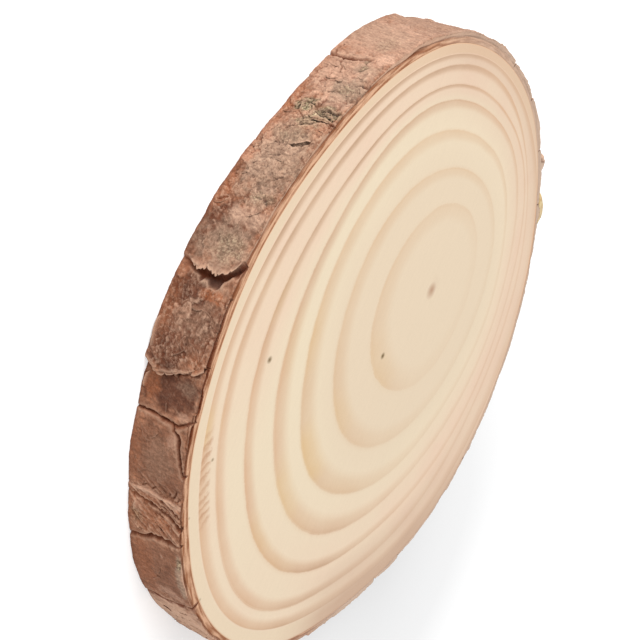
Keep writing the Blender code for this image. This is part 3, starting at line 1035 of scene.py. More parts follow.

# %% [markdown]
# ## What the bark's colours follow
# Colour on bark follows its history. Fresh breaks are orange-brown, weathered cork is pinkish grey,
# lichen grows in a green-grey patch, and every hollow, seam and crack is darkened, partly dark bark and
# partly painted shade. Each of these is a number on the sheet's points. Hollows are found by comparing
# the relief with a blurred copy of itself.
# %% Hollows and patches
def blurred(values, cells_up, cells_across):
    """Box blur of a sheet that closes round the stem, run twice for a soft result."""
    for _ in range(2):
        padded = np.pad(values, ((cells_up, cells_up), (0, 0)), mode="edge")
        padded = np.pad(padded, ((0, 0), (cells_across, cells_across)), mode="wrap")
        total = np.cumsum(np.cumsum(np.pad(padded, ((1, 0), (1, 0))), axis=0), axis=1)
        up, across = 2 * cells_up + 1, 2 * cells_across + 1
        values = total[up:, across:] - total[:-up, across:] - total[up:, :-across] + total[:-up, :-across]
        values = values / (up * across)
    return values


# Painted shade along the bark's lower edge starts at this angle
LOW_SHADE_FROM = 232.0
hollow = blurred(bark_relief, 5, 5) - bark_relief
fine_hollow = blurred(bark_relief, 2, 2) - bark_relief
# Darker hollows, seams and cracks: dark bark there, and painted shade
dirt = np.clip(hollow * 1.5 + fine_hollow * 3.0 - 0.12, 0.0, 0.75)
dirt = np.maximum(dirt, np.clip(openings * 1.5, 0.0, 0.9))
# Painted shade along the lower edge of the bark
low_edge_shade = unit(1.2 - sheet_height / 0.45) * rising(sheet_angle, LOW_SHADE_FROM, 8.0)
dirt = np.maximum(dirt, 0.4 * low_edge_shade)
worn = unit(-(hollow * 0.8 + fine_hollow * 8.0) - 0.05)
worn = worn * (0.2 + 0.25 * flaky + 0.12 * wormy + 0.2 * fibrous)
print("hollows", float((dirt > 0.5).mean().round(3)), "worn edges", float((worn > 0.3).mean().round(3)))

# %% [markdown]
# Patches are soft ovals: middle and half size as angle and height, and a strength. Noise roughens their
# edges. Two more lists paint shade into one long channel and paint light onto the farthest plate.
# %% Colour patches on the bark
PALE = ((324.7, 6.2, 1.7, 3.4, 0.5), (204, 5, 14, 9, 0.5), (219, 6, 9, 8, 0.74),
        (224.4, 8.6, 3.0, 1.6, 1.0), (236.6, 7.0, 1.6, 3.6, 1.0), (230, 4, 7, 6, 0.85),
        (247, 3, 7, 5, 0.55), (259.6, 7.0, 1.6, 3.5, 0.7), (250.0, 1.6, 2.4, 1.2, 0.7),
        (255.5, 7.0, 2.0, 2.0, 0.4), (265.6, 6.5, 2.6, 3.0, 0.4), (304.4, 5, 0.6, 7, 0.9),
        (307.8, 2.2, 1.6, 1.0, 0.6), (336.6, 5, 8.3, 14, 1.3), (318.0, 9.8, 4.5, 0.6, 0.8),
        (268.4, 6, 0.8, 4, 0.4), (315.4, 6.3, 0.5, 0.3, 0.9), (290.2, 8.2, 0.8, 1.4, 0.5),
        (294.2, 7.2, 1.2, 1.0, 0.4), (146.2, 8.4, 3.0, 2.2, 1.0))
RUST = ((271.9, 7.2, 1.0, 2.4, 1.0), (252, 1.2, 8, 1.5, 0.6), (240, 0.6, 12, 1.0, 0.6),
        (282, 8.4, 1.4, 1.4, 0.6), (287, 1.8, 3, 1.5, 0.7), (275, 1.0, 6, 1.3, 0.5),
        (256, 4.6, 2.0, 2.0, 0.4), (308.0, 5, 4, 6, 0.6), (320, 2.0, 9, 2.6, 0.6),
        (298, 1.0, 7, 1.5, 0.4), (253, 8.2, 1.5, 1.6, 0.4))
# The first dark oval is painted shade in the channel under the lip; the rest are dark bark
DARK = ((269.3, 6.6, 1.0, 3.0, 1.0), (205, 5, 9.5, 7, 0.14), (267.2, 9.4, 1.2, 0.7, 0.9),
        (285.9, 7.4, 1.8, 3.2, 1.0), (287.4, 4.5, 3.2, 5.5, 1.05), (233.5, 7.0, 3.0, 3.5, 0.35),
        (281.5, 3, 4.5, 4, 0.9), (277, 5, 6, 8, 0.6), (297, 5, 7, 7, 0.4), (320, 5, 7, 7, 0.35),
        (301, 7, 3, 4, 0.45), (272, 3.5, 2.6, 5, 0.9), (308.6, 8.6, 1.5, 1.5, 0.4),
        (262, 4, 4, 6, 0.85), (265, 1.5, 4, 1.8, 0.6), (268.6, 3.0, 0.8, 0.9, 0.4), (254, 5, 5, 8, 0.3),
        (257.5, 1.4, 2.0, 1.2, 0.5), (319, 7.4, 3.0, 1.2, 0.5), (305.4, 8.6, 0.5, 1.6, 0.7),
        (302.6, 8.6, 1.0, 0.8, 0.4))
# The oval at 270.4 also turns the painted shade in the channel under the lip grey
ASH = ((205, 5, 12, 7, 0.4), (218.7, 4, 4.5, 7, 0.5), (250, 6, 9, 5, 0.9), (233.5, 7.5, 3, 3.5, 1.0),
       (228.4, 7.5, 1.6, 2.6, 0.7), (264.5, 5.5, 4, 5, 0.75), (285.7, 7.8, 1.2, 2.0, 0.4),
       (270.4, 6.4, 0.9, 3.0, 0.6), (319, 9.5, 5.5, 0.7, 1.0), (276, 6, 3, 4, 0.35),
       (298, 5.5, 4, 3, 0.3), (260, 7, 1.5, 4, 0.5))
LICHEN = ((239.2, 7.4, 1.6, 2.6, 1.0), (238.6, 3.6, 1.8, 1.8, 1.0), (241.8, 5.8, 1.4, 2.4, 0.7),
          (244.5, 5.0, 2.0, 3.0, 0.2), (256.4, 7.8, 1.0, 2.0, 0.4), (233.6, 7.6, 1.2, 1.6, 0.35),
          (226.4, 6.4, 0.6, 0.5, 0.6), (228.6, 6.9, 0.9, 0.7, 0.6), (221, 6.2, 2.4, 1.8, 0.2),
          (315, 9.6, 1.5, 0.5, 0.6), (309.5, 1.8, 2.0, 1.2, 0.35), (264.8, 6.6, 2.4, 2.6, 0.35))


def patches(list_of_patches, seed, hidden_share):
    """Strength of a colour over the sheet, from ovals where the bark is seen and slow noise beyond."""
    strength = np.zeros_like(sheet_angle)
    ragged = sheet_lumps(2.4, 2.0, seed=seed, octaves=3)
    ragged = 1.2 * ragged + 0.6 * sheet_lumps(0.8, 0.7, seed=seed + 5, octaves=2)
    for angle, height, half_width, half_height, most in list_of_patches:
        for turn_shift in (0.0, 360.0):
            away = np.hypot((sheet_angle - angle - turn_shift) / half_width,
                            (sheet_height - height) / half_height)
            oval = most * unit((1.12 - away + 0.45 * ragged) * 2.0)
            strength = np.maximum(strength, oval)
    hidden = (sheet_lumps(10.0, 8.0, seed=seed + 50, octaves=3) - 0.5 + hidden_share) * 2.4
    share = rising(sheet_angle, SEEN_TO + 2.0, 6.0) * falling(sheet_angle, LAST_ANGLE - 2.0, 8.0)
    return np.maximum(strength, unit(hidden) * share)


# Painted shade in the channel beside the farthest plate, and painted light on that plate and on a knob
SHADED = ((326.9, 8.6, 0.5, 1.7, 0.8), (327.9, 6.2, 0.55, 2.1, 0.85), (328.6, 3.2, 0.55, 2.5, 0.85),
          (329.1, 0.8, 0.5, 1.3, 0.7))
PAINTED_LIGHT = ((335.6, 6, 8, 7, 0.72), (336, 0.5, 5, 2, 0.5), (146.2, 8.4, 2.6, 2.0, 0.8))
worn = worn + 0.2 * flaky * small_rims * (small_tone > 0.2)
# Painted light on the farthest plate and a knob joins the wear
worn = unit(worn + patches(PAINTED_LIGHT, seed=251, hidden_share=0.0))
dirt = np.maximum(dirt, patches(SHADED, seed=261, hidden_share=-1.0))
sheet_values = {"dirt": dirt, "worn": worn, "tone": scale_tone * flaky, "flaky": flaky,
                "pale": patches(PALE, seed=201, hidden_share=0.65),
                "rust": patches(RUST, seed=211, hidden_share=0.5),
                "dark": patches(DARK, seed=221, hidden_share=0.3),
                "ash": patches(ASH, seed=231, hidden_share=0.5),
                "lichen": patches(LICHEN, seed=241, hidden_share=0.1)}
print({name: float(values.mean().round(2)) for name, values in sheet_values.items()})

# %% [markdown]
# ## Finish of the bark
# The shader starts from a warm brown and lets each patch pull it one way: pale tan, rust, dark brown,
# ash grey or lichen green. Mottling at two sizes keeps any patch from being even. Worn edges then go
# paler, painted light turns the farthest plate and the far rim pale, hollows darken with dark bark and
# painted shade, and fine bump adds grit too small for the mesh.
# %% Bark
BARK_BROWN = srgb(134, 91, 68)
BARK_TAN = srgb(154, 111, 87)
BARK_PALE = srgb(183, 147, 126)
BARK_RUST = srgb(150, 92, 60)
BARK_DARK = srgb(92, 56, 40)
BARK_ASH = srgb(150, 130, 112)
BARK_LICHEN = srgb(72, 64, 44)
BARK_LICHEN_PALE = srgb(166, 156, 126)
# Colours of darkened hollows: dark bark with painted shade, and a greyer painted shade among ash and lichen
BARK_DIRT_AND_SHADE = srgb(104, 50, 26)
BARK_SHADE = srgb(78, 60, 54)
BARK_WORN = srgb(204, 166, 140)
RIM_TAN = srgb(194, 169, 149)
INNER_BARK = srgb(152, 100, 68)
INNER_BARK_PALE = srgb(208, 163, 131)
# Factors on the colour, at the darkest and the lightest
SPECKLE_RANGE = ((0.66, 0.63, 0.61), (1.28, 1.26, 1.24))
FIBRE_RANGE = ((0.74, 0.72, 0.70), (1.2, 1.19, 1.18))
TONE_RANGE = ((0.74, 0.70, 0.68), (1.24, 1.22, 1.2))


def bark_finish():
    """The bark's material."""
    bark = Finish("pine_bark")
    spot = bark.spot()
    mottle = bark.noise(spot, size=1.8, detail=4.0, roughness=0.6)
    speckle = bark.noise(spot, size=0.35, detail=3.0, roughness=0.65)
    streak = bark.noise(bark.spot((1.0, 1.0, 0.3)), size=0.5, detail=3.0, roughness=0.6)
    colour = bark.mix(bark.ramp(mottle, (0.35, 0.0), (0.65, 1.0)), BARK_BROWN, BARK_TAN)
    for name, least, cloud, more, target in (
            ("dark", 0.6, mottle, 0.8, BARK_DARK), ("pale", 0.65, mottle, 0.7, BARK_PALE),
            ("rust", 0.2, mottle, 1.0, BARK_RUST), ("ash", 0.1, speckle, 1.1, BARK_ASH)):
        colour = bark.stain(colour, name, least, cloud, more, target)
    lichen = bark.mix(bark.ramp(speckle, (0.44, 0.0), (0.62, 1.0)), BARK_LICHEN, BARK_LICHEN_PALE)
    colour = bark.stain(colour, "lichen", 0.3, mottle, 1.2, lichen)
    specks = bark.mix(bark.ramp(speckle, (0.3, 0.0), (0.7, 1.0)), *SPECKLE_RANGE)
    colour = bark.mix(0.8, colour, specks, "MULTIPLY")
    fibre = bark.mix(bark.ramp(streak, (0.37, 0.0), (0.63, 1.0)), *FIBRE_RANGE)
    colour = bark.mix(0.7, colour, fibre, "MULTIPLY")
    flecks = bark.ramp(bark.noise(spot, size=0.5, detail=4.0, roughness=0.75), (0.56, 0.0), (0.63, 1.0))
    colour = bark.mix(flecks * bark.value("flaky") * 0.4, colour, BARK_WORN)
    pores = bark.ramp(bark.noise(spot, size=0.55, detail=3.0, roughness=0.7), (0.34, 1.0), (0.42, 0.0))
    colour = bark.mix(pores * (0.2 + bark.value("flaky") * 0.5), colour, BARK_DARK)
    tone = bark.mix((bark.value("tone") * 0.7 + 0.5).clamp(), *TONE_RANGE)
    colour = bark.mix(0.8, colour, tone, "MULTIPLY")
    fibres = (bark.value("rim_fibre") * 1.3 + speckle * 0.8 - 0.55).clamp()
    inner_colour = bark.mix(fibres, INNER_BARK, INNER_BARK_PALE)
    colour = bark.mix(bark.value("inner"), colour, inner_colour)
    # Wear, and painted light on the farthest plate, turn pale
    colour = bark.mix((bark.value("worn") * 0.8).clamp(), colour, BARK_WORN)
    # Painted light pulls the far rim and the top of the far wall to a pale tan
    colour = bark.stain(colour, "bleached", 0.7, speckle, 0.4, RIM_TAN)
    # Hollows darkened with dark bark and painted shade
    groove = bark.mix((bark.value("ash") + bark.value("lichen")).clamp(), BARK_DIRT_AND_SHADE, BARK_SHADE)
    colour = bark.mix(bark.value("dirt").clamp(), colour, groove)
    relief = speckle * 0.6 + bark.noise(spot, size=0.15, detail=2.0, roughness=0.7) * 0.4
    return bark.set(Base_Color=colour, Roughness=0.9 - speckle * 0.15, Specular_IOR_Level=0.2,
                    Normal=bark.bump(relief, strength=1.0, depth=0.25))


bark_material = bark_finish()
print("bark has", len(bark_material.node_tree.nodes), "nodes")

# %% [markdown]
# ## The bark ring
# The relief stands on the wall, and its rows run on over both sawn faces to the wood. There the cut
# shows the outer bark, then a gap where it has begun to part, darkened with painted shade, then the
# orange inner bark with paler lines. The ring is three arcs that meet in seams, so no single mesh gets
# too heavy.
# %% Rows over the sawn faces
# The gap's place in from the outline, its depth, its painted shade and its half width, by angle
GAP_INSET = ((0, 0.5), (200, 0.6), (212, 0.8), (220, 0.85), (228, 0.6), (240, 0.5), (262, 0.5),
             (274, 0.45), (282, 0.4), (286, 0.22), (292, 0.2), (312, 0.15), (334, 0.4), (360, 0.5))
GAP_DEPTH = ((0, 0.1), (205, 0.06), (213, 0.1), (218, 0.5), (223, 0.2), (262, 0.3), (270, 0.3),
             (276, 0.7), (282, 1.1), (290, 0.8), (298, 0.3), (312, 0.3), (340, 0.2), (360, 0.15))
GAP_DARK = ((0, 0.25), (20, 0.05), (190, 0.05), (204, 0.05), (213, 0.1), (217.5, 0.5), (221, 0.2),
            (236, 0.35), (262, 0.5), (270, 0.6), (274, 0.95), (291, 1.0), (298, 0.65), (312, 0.6),
            (334, 0.3), (360, 0.25))
GAP_HALF_WIDTH = ((0, 0.15), (200, 0.18), (214, 0.2), (217.5, 0.34), (220, 0.2), (262, 0.2),
                  (270, 0.22), (275, 0.32), (279, 0.34), (281.5, 0.5), (284, 0.34), (291, 0.3),
                  (293, 0.2), (300, 0.16), (360, 0.14))
# Strength of the pale line in the inner bark and of the pale lip outside the gap, by angle
PALE_LINE = ((0, 0.0), (225, 0.0), (236, 0.8), (262, 0.8), (272, 0.2), (286, 0.0), (300, 0.5),
             (330, 0.5), (345, 0.0), (360, 0.0))
PALE_LIP = ((0, 0.3), (198, 0.4), (206, 0.8), (218, 0.7), (228, 0.9), (262, 0.8), (266, 0.3),
            (290, 0.1), (312, 0.1), (316, 0.6), (340, 0.5), (360, 0.3))
# Painted light on the far rim, by angle
PAINTED_LIGHT_RIM = ((0, 0.1), (12, 0.2), (20, 0.8), (28, 1.0), (150, 1.0), (168, 0.85), (180, 0.75),
                (195, 0.6), (206, 0.3), (214, 0.0), (345, 0.0), (360, 0.1))
UPPER_RIM_ROWS, LOWER_RIM_ROWS = 30, 9
# The least from the gap to the wall and to the wood, and the height above which the wall gets painted light
GAP_FROM_WALL, GAP_FROM_WOOD = 0.12, 0.35
PAINTED_LIGHT_FROM = 8.9
# How much of these colours carries on from the wall over the cut
OVER_THE_CUT = {"ash": 0.3, "lichen": 0.3}


def rim_rows(turn, outer, upper):
    """Radius, height and the values of the rows over one sawn face, from the outside in."""
    shares = np.linspace(0.0, 1.0, UPPER_RIM_ROWS if upper else LOWER_RIM_ROWS)[:, None]
    inner_edge = wood_edge(turn)
    radius = outer + (inner_edge - outer) * shares
    turns = np.broadcast_to(turn, radius.shape)
    gap_at = np.minimum(outline(turn) - table_at(GAP_INSET, turn), outer - GAP_FROM_WALL)
    gap_at = gap_at + 0.16 * lumps(turns / FULL_TURN * 90, 0.0 * turns + 0.4, seed=301, around=90)
    gap_at = np.maximum(gap_at, inner_edge + GAP_FROM_WOOD)
    half_width = table_at(GAP_HALF_WIDTH, turn)
    nearness = unit((half_width - np.abs(radius - gap_at)) / 0.08 + 0.5)
    depth = table_at(GAP_DEPTH, turn) * (1.0 if upper else 0.4)
    uneven = lumps(turns / FULL_TURN * 60, 0.0 * turns + 0.7, seed=307, around=60)
    depth = depth * np.clip(0.8 + 0.9 * uneven, 0.15, 1.2)
    inside = inner_edge - radius
    fibre = unit(0.42 + 0.75 * lumps(turns / FULL_TURN * 110, inside * 2.6, seed=311, around=110))
    pale_line = unit(1.0 - np.abs(inside + 0.55) / 0.3) * table_at(PALE_LINE, turn)
    fibre = unit(fibre + pale_line - 0.3 * unit(1.0 + inside / 0.2))
    sink = 0.02 + 0.09 * fibre * np.sin(math.pi * shares) + depth * nearness
    height = THICKNESS - sink if upper else sink
    inner = unit((gap_at - radius) / 0.12 + 0.5)
    # Painted shade across the gap
    darkened = unit((half_width + 0.10 - np.abs(radius + 0.05 - gap_at)) / 0.12)
    lip = unit((radius - gap_at) / 0.1 - 1.0) * table_at(PALE_LIP, turn)
    lip = lip * (1.0 if upper else 0.0)
    # Painted light on the far rim
    rim_light = np.broadcast_to(table_at(PAINTED_LIGHT_RIM, turn) * (1.0 if upper else 0.3), radius.shape)
    return radius, np.maximum(height, 0.0), {"inner": inner, "dirt": darkened * table_at(GAP_DARK, turn),
                                             "rim_fibre": fibre, "worn": lip, "bleached": rim_light}


# Painted light on the top of the wall beside the far rim
near_the_top = unit(sheet_height - PAINTED_LIGHT_FROM)
sheet_values["bleached"] = 0.7 * table_at(PAINTED_LIGHT_RIM, sheet_turn) * near_the_top
top_rim = rim_rows(bark_turn, bark_radius[-1], True)
bottom_rim = rim_rows(bark_turn, bark_radius[0], False)
rim_width = top_rim[0][0] - top_rim[0][-1]
print("rim from", rim_width.min().round(2), "to", rim_width.max().round(2), "mm wide")

# %% [markdown]
# Every row is stacked in order: in from the lower face, up the wall, over the upper face and down
# inside the wood, where the last row joins the first.
# %% Stack and cut the ring
# How far the bark reaches into the wood, so that no gap shows between them
HIDDEN_DEPTH, TUCK = 0.8, 0.06


def stacked():
    """Radii, heights and values of the whole closed ring, row by row."""
    tucked = wood_edge(bark_turn) - TUCK
    radius = np.concatenate([tucked[None], bottom_rim[0][:0:-1], bark_radius, top_rim[0][1:], tucked[None]])
    height = np.concatenate([np.full_like(tucked, HIDDEN_DEPTH)[None], bottom_rim[1][:0:-1], sheet_height,
                             top_rim[1][1:], np.full_like(tucked, THICKNESS - HIDDEN_DEPTH)[None]])
    values = {}
    zero = np.zeros_like(tucked)[None]
    for name, sheet in sheet_values.items():
        below = np.broadcast_to(sheet[0], bottom_rim[0][1:].shape)
        above = np.broadcast_to(sheet[-1] * OVER_THE_CUT.get(name, 1.0), top_rim[0][1:].shape)
        values[name] = np.concatenate([zero, below, sheet, above, zero])
    for name in ("inner", "rim_fibre", "dirt", "worn", "bleached"):
        on_wall = sheet_values.get(name, 0.0 * sheet_height)
        values[name] = np.concatenate([zero, bottom_rim[2][name][:0:-1], on_wall, top_rim[2][name][1:], zero])
    return radius, height, values


ring_radius, ring_height, ring_values = stacked()
# Angles where one arc ends and the next begins
JOINTS = (208.6, SEEN_TO, 450.0)


def bark_arc(name, first, last):
    """One arc of the ring, between two joints in degrees."""
    begin, end = (int(np.searchsorted(bark_angles, angle)) for angle in (first, last))
    if last > first:
        columns = np.arange(begin, end + 1)
    else:
        columns = np.concatenate([np.arange(begin, len(bark_angles)), np.arange(0, end + 1)])
    radius, height = ring_radius[:, columns], ring_height[:, columns]
    turn = bark_turn[columns]
    points = np.clip(place(radius * np.cos(turn), radius * np.sin(turn), height), low, high)
    rows, count = radius.shape
    sheet = grid_faces(rows, count, False)
    here = np.arange(count - 1)
    last_row = (rows - 1) * count
    closing = np.stack([last_row + here, last_row + here + 1, here + 1, here], axis=1)
    values = {key_name: numbers[:, columns] for key_name, numbers in ring_values.items()}
    return make_piece(name, points, [sheet, closing], values, bark_material)


for index, name in enumerate(("bark_front", "bark_right", "bark_left")):
    bark_arc(name, JOINTS[index], JOINTS[(index + 1) % 3])

# %% [markdown]
# ## Loose flakes
# A relief can't overhang, and real bark does: a plate's lip curls over the channel beside it, splinters
# lift, and thin scales stand off the surface. Each is a thin shell laid on the relief, from a root line
# that is sunk in it to a ragged free edge that stands clear.
# %% Reading the relief at a place
def sheet_at(sheet, angle, height):
    """Reads a sheet between its points, at angles in degrees and heights in millimetres."""
    angle = FIRST_ANGLE + (np.asarray(angle, float) - FIRST_ANGLE) % 360.0
    column = np.clip(np.interp(angle, bark_angles, np.arange(len(bark_angles))), 0, len(bark_angles) - 1.001)
    row = np.clip(np.asarray(height, float) / THICKNESS * (WALL_ROWS - 1), 0, WALL_ROWS - 1.001)
    c, r = column.astype(int), row.astype(int)
    u, v = column - c, row - r
    below = sheet[r, c] * (1 - u) + sheet[r, c + 1] * u
    above = sheet[r + 1, c] * (1 - u) + sheet[r + 1, c + 1] * u
    return below * (1 - v) + above * v


calm_radius = blurred(bark_radius, 3, 3)
print("relief at the lip:", float(sheet_at(calm_radius, 266.0, 5.0).round(2)), "mm from the middle")

# %% [markdown]
# A flake is a grid between its root line and its tip line, doubled into an upper and a lower skin that
# meet at the rim. The tip line is frayed by seeded noise, and the skin lifts towards it.
# %% One flake
# How deep a root is sunk, and how near a flake may come to a sawn face
SUNK, FLAKE_MARGIN = 0.12, 0.02


def flake_shell(root, tip, lift, thickness, draw, along, out=6, least_reach=0.6, wear=0.9):
    """Points, faces and values of a thin shell from a root line to a tip line on the bark."""
    u = np.linspace(0.0, 1.0, along)
    lines = []
    for line in (root, tip):
        knots = np.linspace(0.0, 1.0, len(line))
        lines.append([np.interp(u, knots, [point[axis] for point in line]) for axis in (0, 1)])
    frays = []
    for spacing in (7, 3):
        knots = np.arange(0, along + spacing, spacing)
        frays.append(np.interp(np.arange(along), knots, draw.uniform(0.0, 1.0, len(knots))))
    reach_along = 1.0 - (1.0 - least_reach) * (0.5 * frays[0] + 0.5 * frays[1] ** 2)
    v = np.linspace(0.0, 1.0, out)[:, None]
    reach = v * reach_along
    angle = lines[0][0] + (lines[1][0] - lines[0][0]) * reach
    height = lines[0][1] + (lines[1][1] - lines[0][1]) * reach
    height = np.clip(height, FLAKE_MARGIN, THICKNESS - FLAKE_MARGIN)
    base = sheet_at(calm_radius, lines[0][0], lines[0][1]) - SUNK
    surface = sheet_at(calm_radius, angle, height)
    ends = np.minimum(1.0, np.minimum(u, 1.0 - u) * 6.0 + 0.1)
    rise = base + (np.maximum(surface + 0.05, base) - base) * 0.6 * v + lift * v ** 1.3 * ends
    rise = rise + 0.02 * draw.uniform(-1.0, 1.0, rise.shape)
    thick = thickness * (1.0 - 0.75 * v) * np.maximum(ends, 0.35)
    turn = angle * DEGREE
    points = np.concatenate([place(radius * np.cos(turn), radius * np.sin(turn), height)
                             for radius in (rise, rise - thick)])
    count = along * out
    top = grid_faces(out, along, False)
    border = np.concatenate([np.arange(along), np.arange(2 * along - 1, count, along),
                             np.arange(count - 2, count - along - 1, -1),
                             np.arange(count - 2 * along, 0, -along)])
    after = np.roll(border, -1)
    sides = np.stack([border, after, after + count, border + count], axis=1)
    faces = np.concatenate([top, top[:, ::-1] + count, sides[:, ::-1]])
    values = {name: np.concatenate([np.ravel(sheet_at(sheet, angle, height))] * 2)
              for name, sheet in sheet_values.items()}
    edge_wear = np.ravel(np.broadcast_to(v, angle.shape)) ** 4
    values["worn"] = np.concatenate([wear * edge_wear, 0.0 * edge_wear])
    # Painted shade on each flake's underside, and a little near its root
    values["dirt"] = np.concatenate([0.1 * (1 - edge_wear), 0.9 + 0.0 * edge_wear])
    for name in ("inner", "rim_fibre"):
        values[name] = np.zeros(2 * count)
    return points, faces, values


def make_flakes(name, shells):
    """Joins shells into one piece of the bark."""
    points, faces, values, start = [], [], [], 0
    for shell_points, shell_faces, shell_values in shells:
        points.append(shell_points)
        faces.append(shell_faces + start)
        values.append(shell_values)
        start += len(shell_points)
    joined = {key_name: np.concatenate([part[key_name] for part in values])
              for key_name in values[0]}
    points = np.clip(np.concatenate(points), low, high)
    return make_piece(name, points, faces, joined, bark_material)


# %% [markdown]
# The lip over the channel comes first, with the curl under it. Then come the scales among the lichen,
# the broken corner and ragged edge of the next plate, two scales at the lower edge, and the splinters.
# %% The flakes that the picture shows
LONG_LIP = {"out": 9, "least_reach": 0.4, "wear": 1.1}
# Root line, tip line, lift, thickness, points along, and what else is its own
SEEN_FLAKES = (
    (((263.9, 9.95), (265.4, 9.2), (266.6, 8.0), (267.0, 6.6), (267.0, 4.9), (266.8, 3.4), (266.6, 1.6)),
     ((265.9, 10.0), (267.5, 9.2), (268.7, 8.2), (269.4, 6.8), (269.6, 5.2), (269.5, 3.6), (268.9, 1.6)),
     0.48, 0.34, 100, LONG_LIP),
    (((268.0, 3.9), (267.6, 3.3), (267.7, 2.7), (268.2, 2.3)),
     ((268.8, 3.8), (269.0, 3.3), (268.9, 2.8), (268.7, 2.4)), 0.5, 0.2, 12, {}),
    (((244.0, 8.4), (244.5, 7.4), (245.0, 6.6), (245.3, 5.8)),
     ((245.3, 8.6), (246.0, 7.6), (246.7, 6.7), (246.7, 5.6)), 0.42, 0.18, 26, {}),
    (((240.0, 8.4), (240.3, 6.8), (241.0, 5.2)),
     ((240.9, 8.6), (241.4, 6.8), (242.4, 4.8)), 0.28, 0.18, 26, {}),
    (((238.4, 6.0), (239.4, 6.4), (240.4, 6.2)),
     ((238.6, 4.6), (239.6, 4.9), (240.7, 5.0)), 0.26, 0.18, 20, {}),
    (((237.4, 3.9), (238.2, 3.8), (239.0, 3.7)),
     ((237.3, 2.9), (238.4, 2.5), (239.3, 2.8)), 0.24, 0.16, 18, {}),
    (((280.6, 9.4), (281.9, 8.8), (282.6, 7.9)),
     ((282.4, 9.9), (283.6, 8.9), (284.0, 7.8)), 0.35, 0.22, 14, {}),
    (((282.8, 7.4), (283.3, 6.0), (283.9, 4.6), (284.4, 3.2), (284.0, 2.0), (283.0, 0.9)),
     ((283.8, 7.4), (284.3, 6.0), (285.0, 4.6), (285.7, 3.1), (285.0, 1.8), (283.8, 0.8)),
     0.15, 0.2, 60, {"least_reach": 0.2}),
    (((285.6, 1.6), (286.8, 1.5), (287.8, 1.2)),
     ((285.6, 0.6), (286.8, 0.3), (288.4, 0.3)), 0.4, 0.2, 18, {}),
    (((277.0, 1.6), (279.0, 1.5), (281.5, 1.7)),
     ((277.2, 0.4), (279.2, 0.1), (282.0, 0.3)), 0.4, 0.25, 22, {}),
    (((303.6, 9.8), (303.5, 7.0), (303.7, 4.0), (304.0, 0.6)),
     ((304.6, 9.8), (304.5, 7.0), (304.5, 4.0), (304.7, 0.6)), 0.30, 0.25, 36, {}),
    (((306.7, 9.7), (306.1, 7.8), (305.9, 5.6)),
     ((306.2, 9.8), (305.7, 8.0), (305.5, 5.4)), 0.26, 0.2, 30, {}),
    (((307.7, 9.7), (306.9, 7.8), (306.5, 5.6)),
     ((307.2, 9.8), (306.6, 8.0), (306.3, 5.4)), 0.26, 0.2, 30, {}),
    (((309.4, 9.7), (308.2, 7.8), (307.6, 5.0)),
     ((308.5, 9.8), (307.5, 8.0), (307.0, 4.6)), 0.24, 0.2, 34, {}),
    (((306.6, 3.2), (307.4, 2.9), (308.6, 3.0)),
     ((306.8, 1.6), (307.6, 1.2), (308.8, 1.4)), 0.35, 0.2, 16, {}),
)
flake_draw = np.random.default_rng(77)
make_flakes("bark_flakes", [flake_shell(root, tip, lift, thickness, flake_draw, along, **own)
                            for root, tip, lift, thickness, along, own in SEEN_FLAKES])

# %% [markdown]
# Then many small scales, scattered by a seeded rule where the bark is flaky. Each is a short arc with
# its free edge turned to a random side, so the light picks out their rims.
# %% Scattered scales
SCALE_COUNT = 420
# The channel under the lip is kept clear
LIP_FROM, LIP_TO = 265.0, 273.0


def scattered_scales():
    """Small scales over the whole bark, thickest where it is flaky."""
    draw = np.random.default_rng(91)
    shells = []
    while len(shells) < SCALE_COUNT:
        angle, height = draw.uniform(FIRST_ANGLE, LAST_ANGLE), draw.uniform(0.9, 9.4)
        if draw.uniform() > float(sheet_at(flaky, angle, height)) ** 1.5 or LIP_FROM < angle < LIP_TO:
            continue
        half, reach = draw.uniform(0.35, 1.3), draw.uniform(0.35, 0.9)
        way = draw.uniform(0.0, FULL_TURN)
        bend = draw.uniform(0.15, 0.5) * half
        side, ahead = (-math.sin(way), math.cos(way)), (math.cos(way), math.sin(way))
        root, tip = [], []
        for step in (-1.0, -0.4, 0.4, 1.0):
            hang = bend * (1.0 - step * step)
            x = side[0] * step * half + ahead[0] * hang
            z = side[1] * step * half + ahead[1] * hang
            root.append((angle + x, height + z))
            tip.append((angle + x + ahead[0] * reach, height + z + ahead[1] * reach))
        lift = draw.uniform(0.05, 0.16)
        shells.append(flake_shell(root, tip, lift, thickness=0.12, draw=draw, along=10, out=4,
                                  wear=0.35))
    return shells


make_flakes("bark_scales", scattered_scales())

# %% [markdown]
# ## A bead of resin
# On the far side a wound in the bark has bled. Pine resin runs out as a thick clear drop and dries to a
# yellow crust, so the bead is a lumpy ball pressed on the bark, half glossy, with light let a little way in.
# %% Resin
# Angle and height, then half sizes in degrees, up the bark and out from it
RESIN_AT = (134.7, 7.8)
RESIN_HALF_SIZE = (4.6, 2.6, 1.9)
RESIN_STANDS = 1.1
RESIN_BELOW_CUT = 0.05
RESIN_DEEP, RESIN_CRUST = srgb(176, 140, 84), srgb(208, 184, 130)


def resin_finish():
    """Dried pine resin."""
    resin = Finish("dried_resin")
    spot = resin.spot()
    cloud = resin.noise(spot, size=1.2, detail=3.0)
    colour = resin.mix(resin.ramp(cloud, (0.3, 0.0), (0.7, 1.0)), RESIN_DEEP, RESIN_CRUST)
    return resin.set(Base_Color=colour, Roughness=0.3 + cloud * 0.3, Coat_Weight=0.35, Coat_Roughness=0.15,
                     Subsurface_Weight=0.15, Subsurface_Radius=(0.001, 0.0006, 0.0003),
                     Normal=resin.bump(resin.noise(spot, size=0.5, detail=3.0), strength=0.4, depth=0.15))


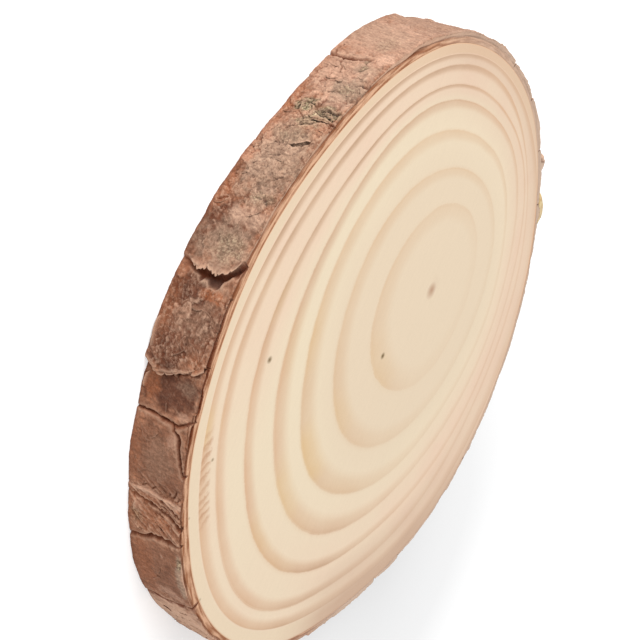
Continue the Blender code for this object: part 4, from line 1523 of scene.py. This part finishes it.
def resin_bead():
    """A lumpy drop, part sunk in the bark."""
    rows, columns = 40, 72
    rise = np.linspace(-math.pi / 2, math.pi / 2, rows)[:, None]
    turn = np.linspace(0.0, FULL_TURN, columns, endpoint=False)[None, :]
    lump = 1.0 + 0.10 * lumps(turn / FULL_TURN * 7 + 0 * rise, rise * 2.4 + 0 * turn, seed=401, around=7)
    lump = lump + 0.05 * lumps(turn / FULL_TURN * 16 + 0 * rise, rise * 6.0 + 0 * turn, seed=402, around=16)
    across = np.cos(rise) * np.cos(turn) * lump * RESIN_HALF_SIZE[0]
    along = np.cos(rise) * np.sin(turn) * lump * RESIN_HALF_SIZE[1]
    stand = np.sin(rise) * lump * RESIN_HALF_SIZE[2] + 0.0 * turn
    angle = RESIN_AT[0] + across
    height = np.minimum(RESIN_AT[1] + along, THICKNESS - RESIN_BELOW_CUT)
    radius = outline(np.radians(RESIN_AT[0])) + RESIN_STANDS + stand
    points = place(radius * np.cos(angle * DEGREE), radius * np.sin(angle * DEGREE), height)
    points = np.clip(points, low, high)
    return make_piece("resin_bead", points, [grid_faces(rows, columns, True)], {}, resin_finish())


resin_bead()

# %% [markdown]
# ## Floor
# The slice lies on white paper over a light box, which is how a pack shot gets its clean white ground.
# The paper itself glows white, and a patch of weaker glow beside the slice is a painted shadow. Faint
# clouds of tone keep it from looking drawn.
# %% Table
TABLE_SIZE = 4.0
TABLE_DROP = 0.00002
PAPER_DARK, PAPER_LIGHT = (0.70, 0.70, 0.703), (0.715, 0.715, 0.715)
GLOW, PAINTED_SHADOW_GLOW = (0.53, 0.53, 0.53), (0.035, 0.035, 0.035)
# The painted shadow's middle in millimetres and how far it spreads
PAINTED_SHADOW_MIDDLE = (47.0, 65.0, 0.0)
PAINTED_SHADOW_REACH = 130.0


def table_finish():
    """White paper glowing as a light box, with a painted shadow of weaker glow and the faintest clouds."""
    paper = Finish("white_paper")
    spot = paper.spot()
    tone = paper.noise(spot, size=60.0, detail=2.0)
    colour = paper.mix(tone, PAPER_DARK, PAPER_LIGHT)
    # Painted shadow: the glow drops towards its middle, beside the slice
    away = paper.away(spot, PAINTED_SHADOW_MIDDLE) / PAINTED_SHADOW_REACH
    shade = paper.ramp(away, (0.0, 1.0), (0.3, 0.85), (0.65, 0.35), (1.0, 0.0))
    glow = paper.mix(shade, GLOW, PAINTED_SHADOW_GLOW)
    return paper.set(Base_Color=colour, Roughness=0.8 + tone * 0.05, Specular_IOR_Level=0.2,
                     Emission_Color=glow, Emission_Strength=1.0)


def table():
    """A flat sheet under the slice."""
    half = TABLE_SIZE / 2
    data = bpy.data.meshes.new("table")
    corners = [(x * half, y * half, -TABLE_DROP) for x, y in ((-1, -1), (1, -1), (1, 1), (-1, 1))]
    data.from_pydata(corners, [], [(0, 1, 2, 3)])
    data.materials.append(table_finish())
    top = bpy.data.objects.new("table", data)
    bpy.context.scene.collection.objects.link(top)
    return top


table()
print("table", TABLE_SIZE, "m wide")
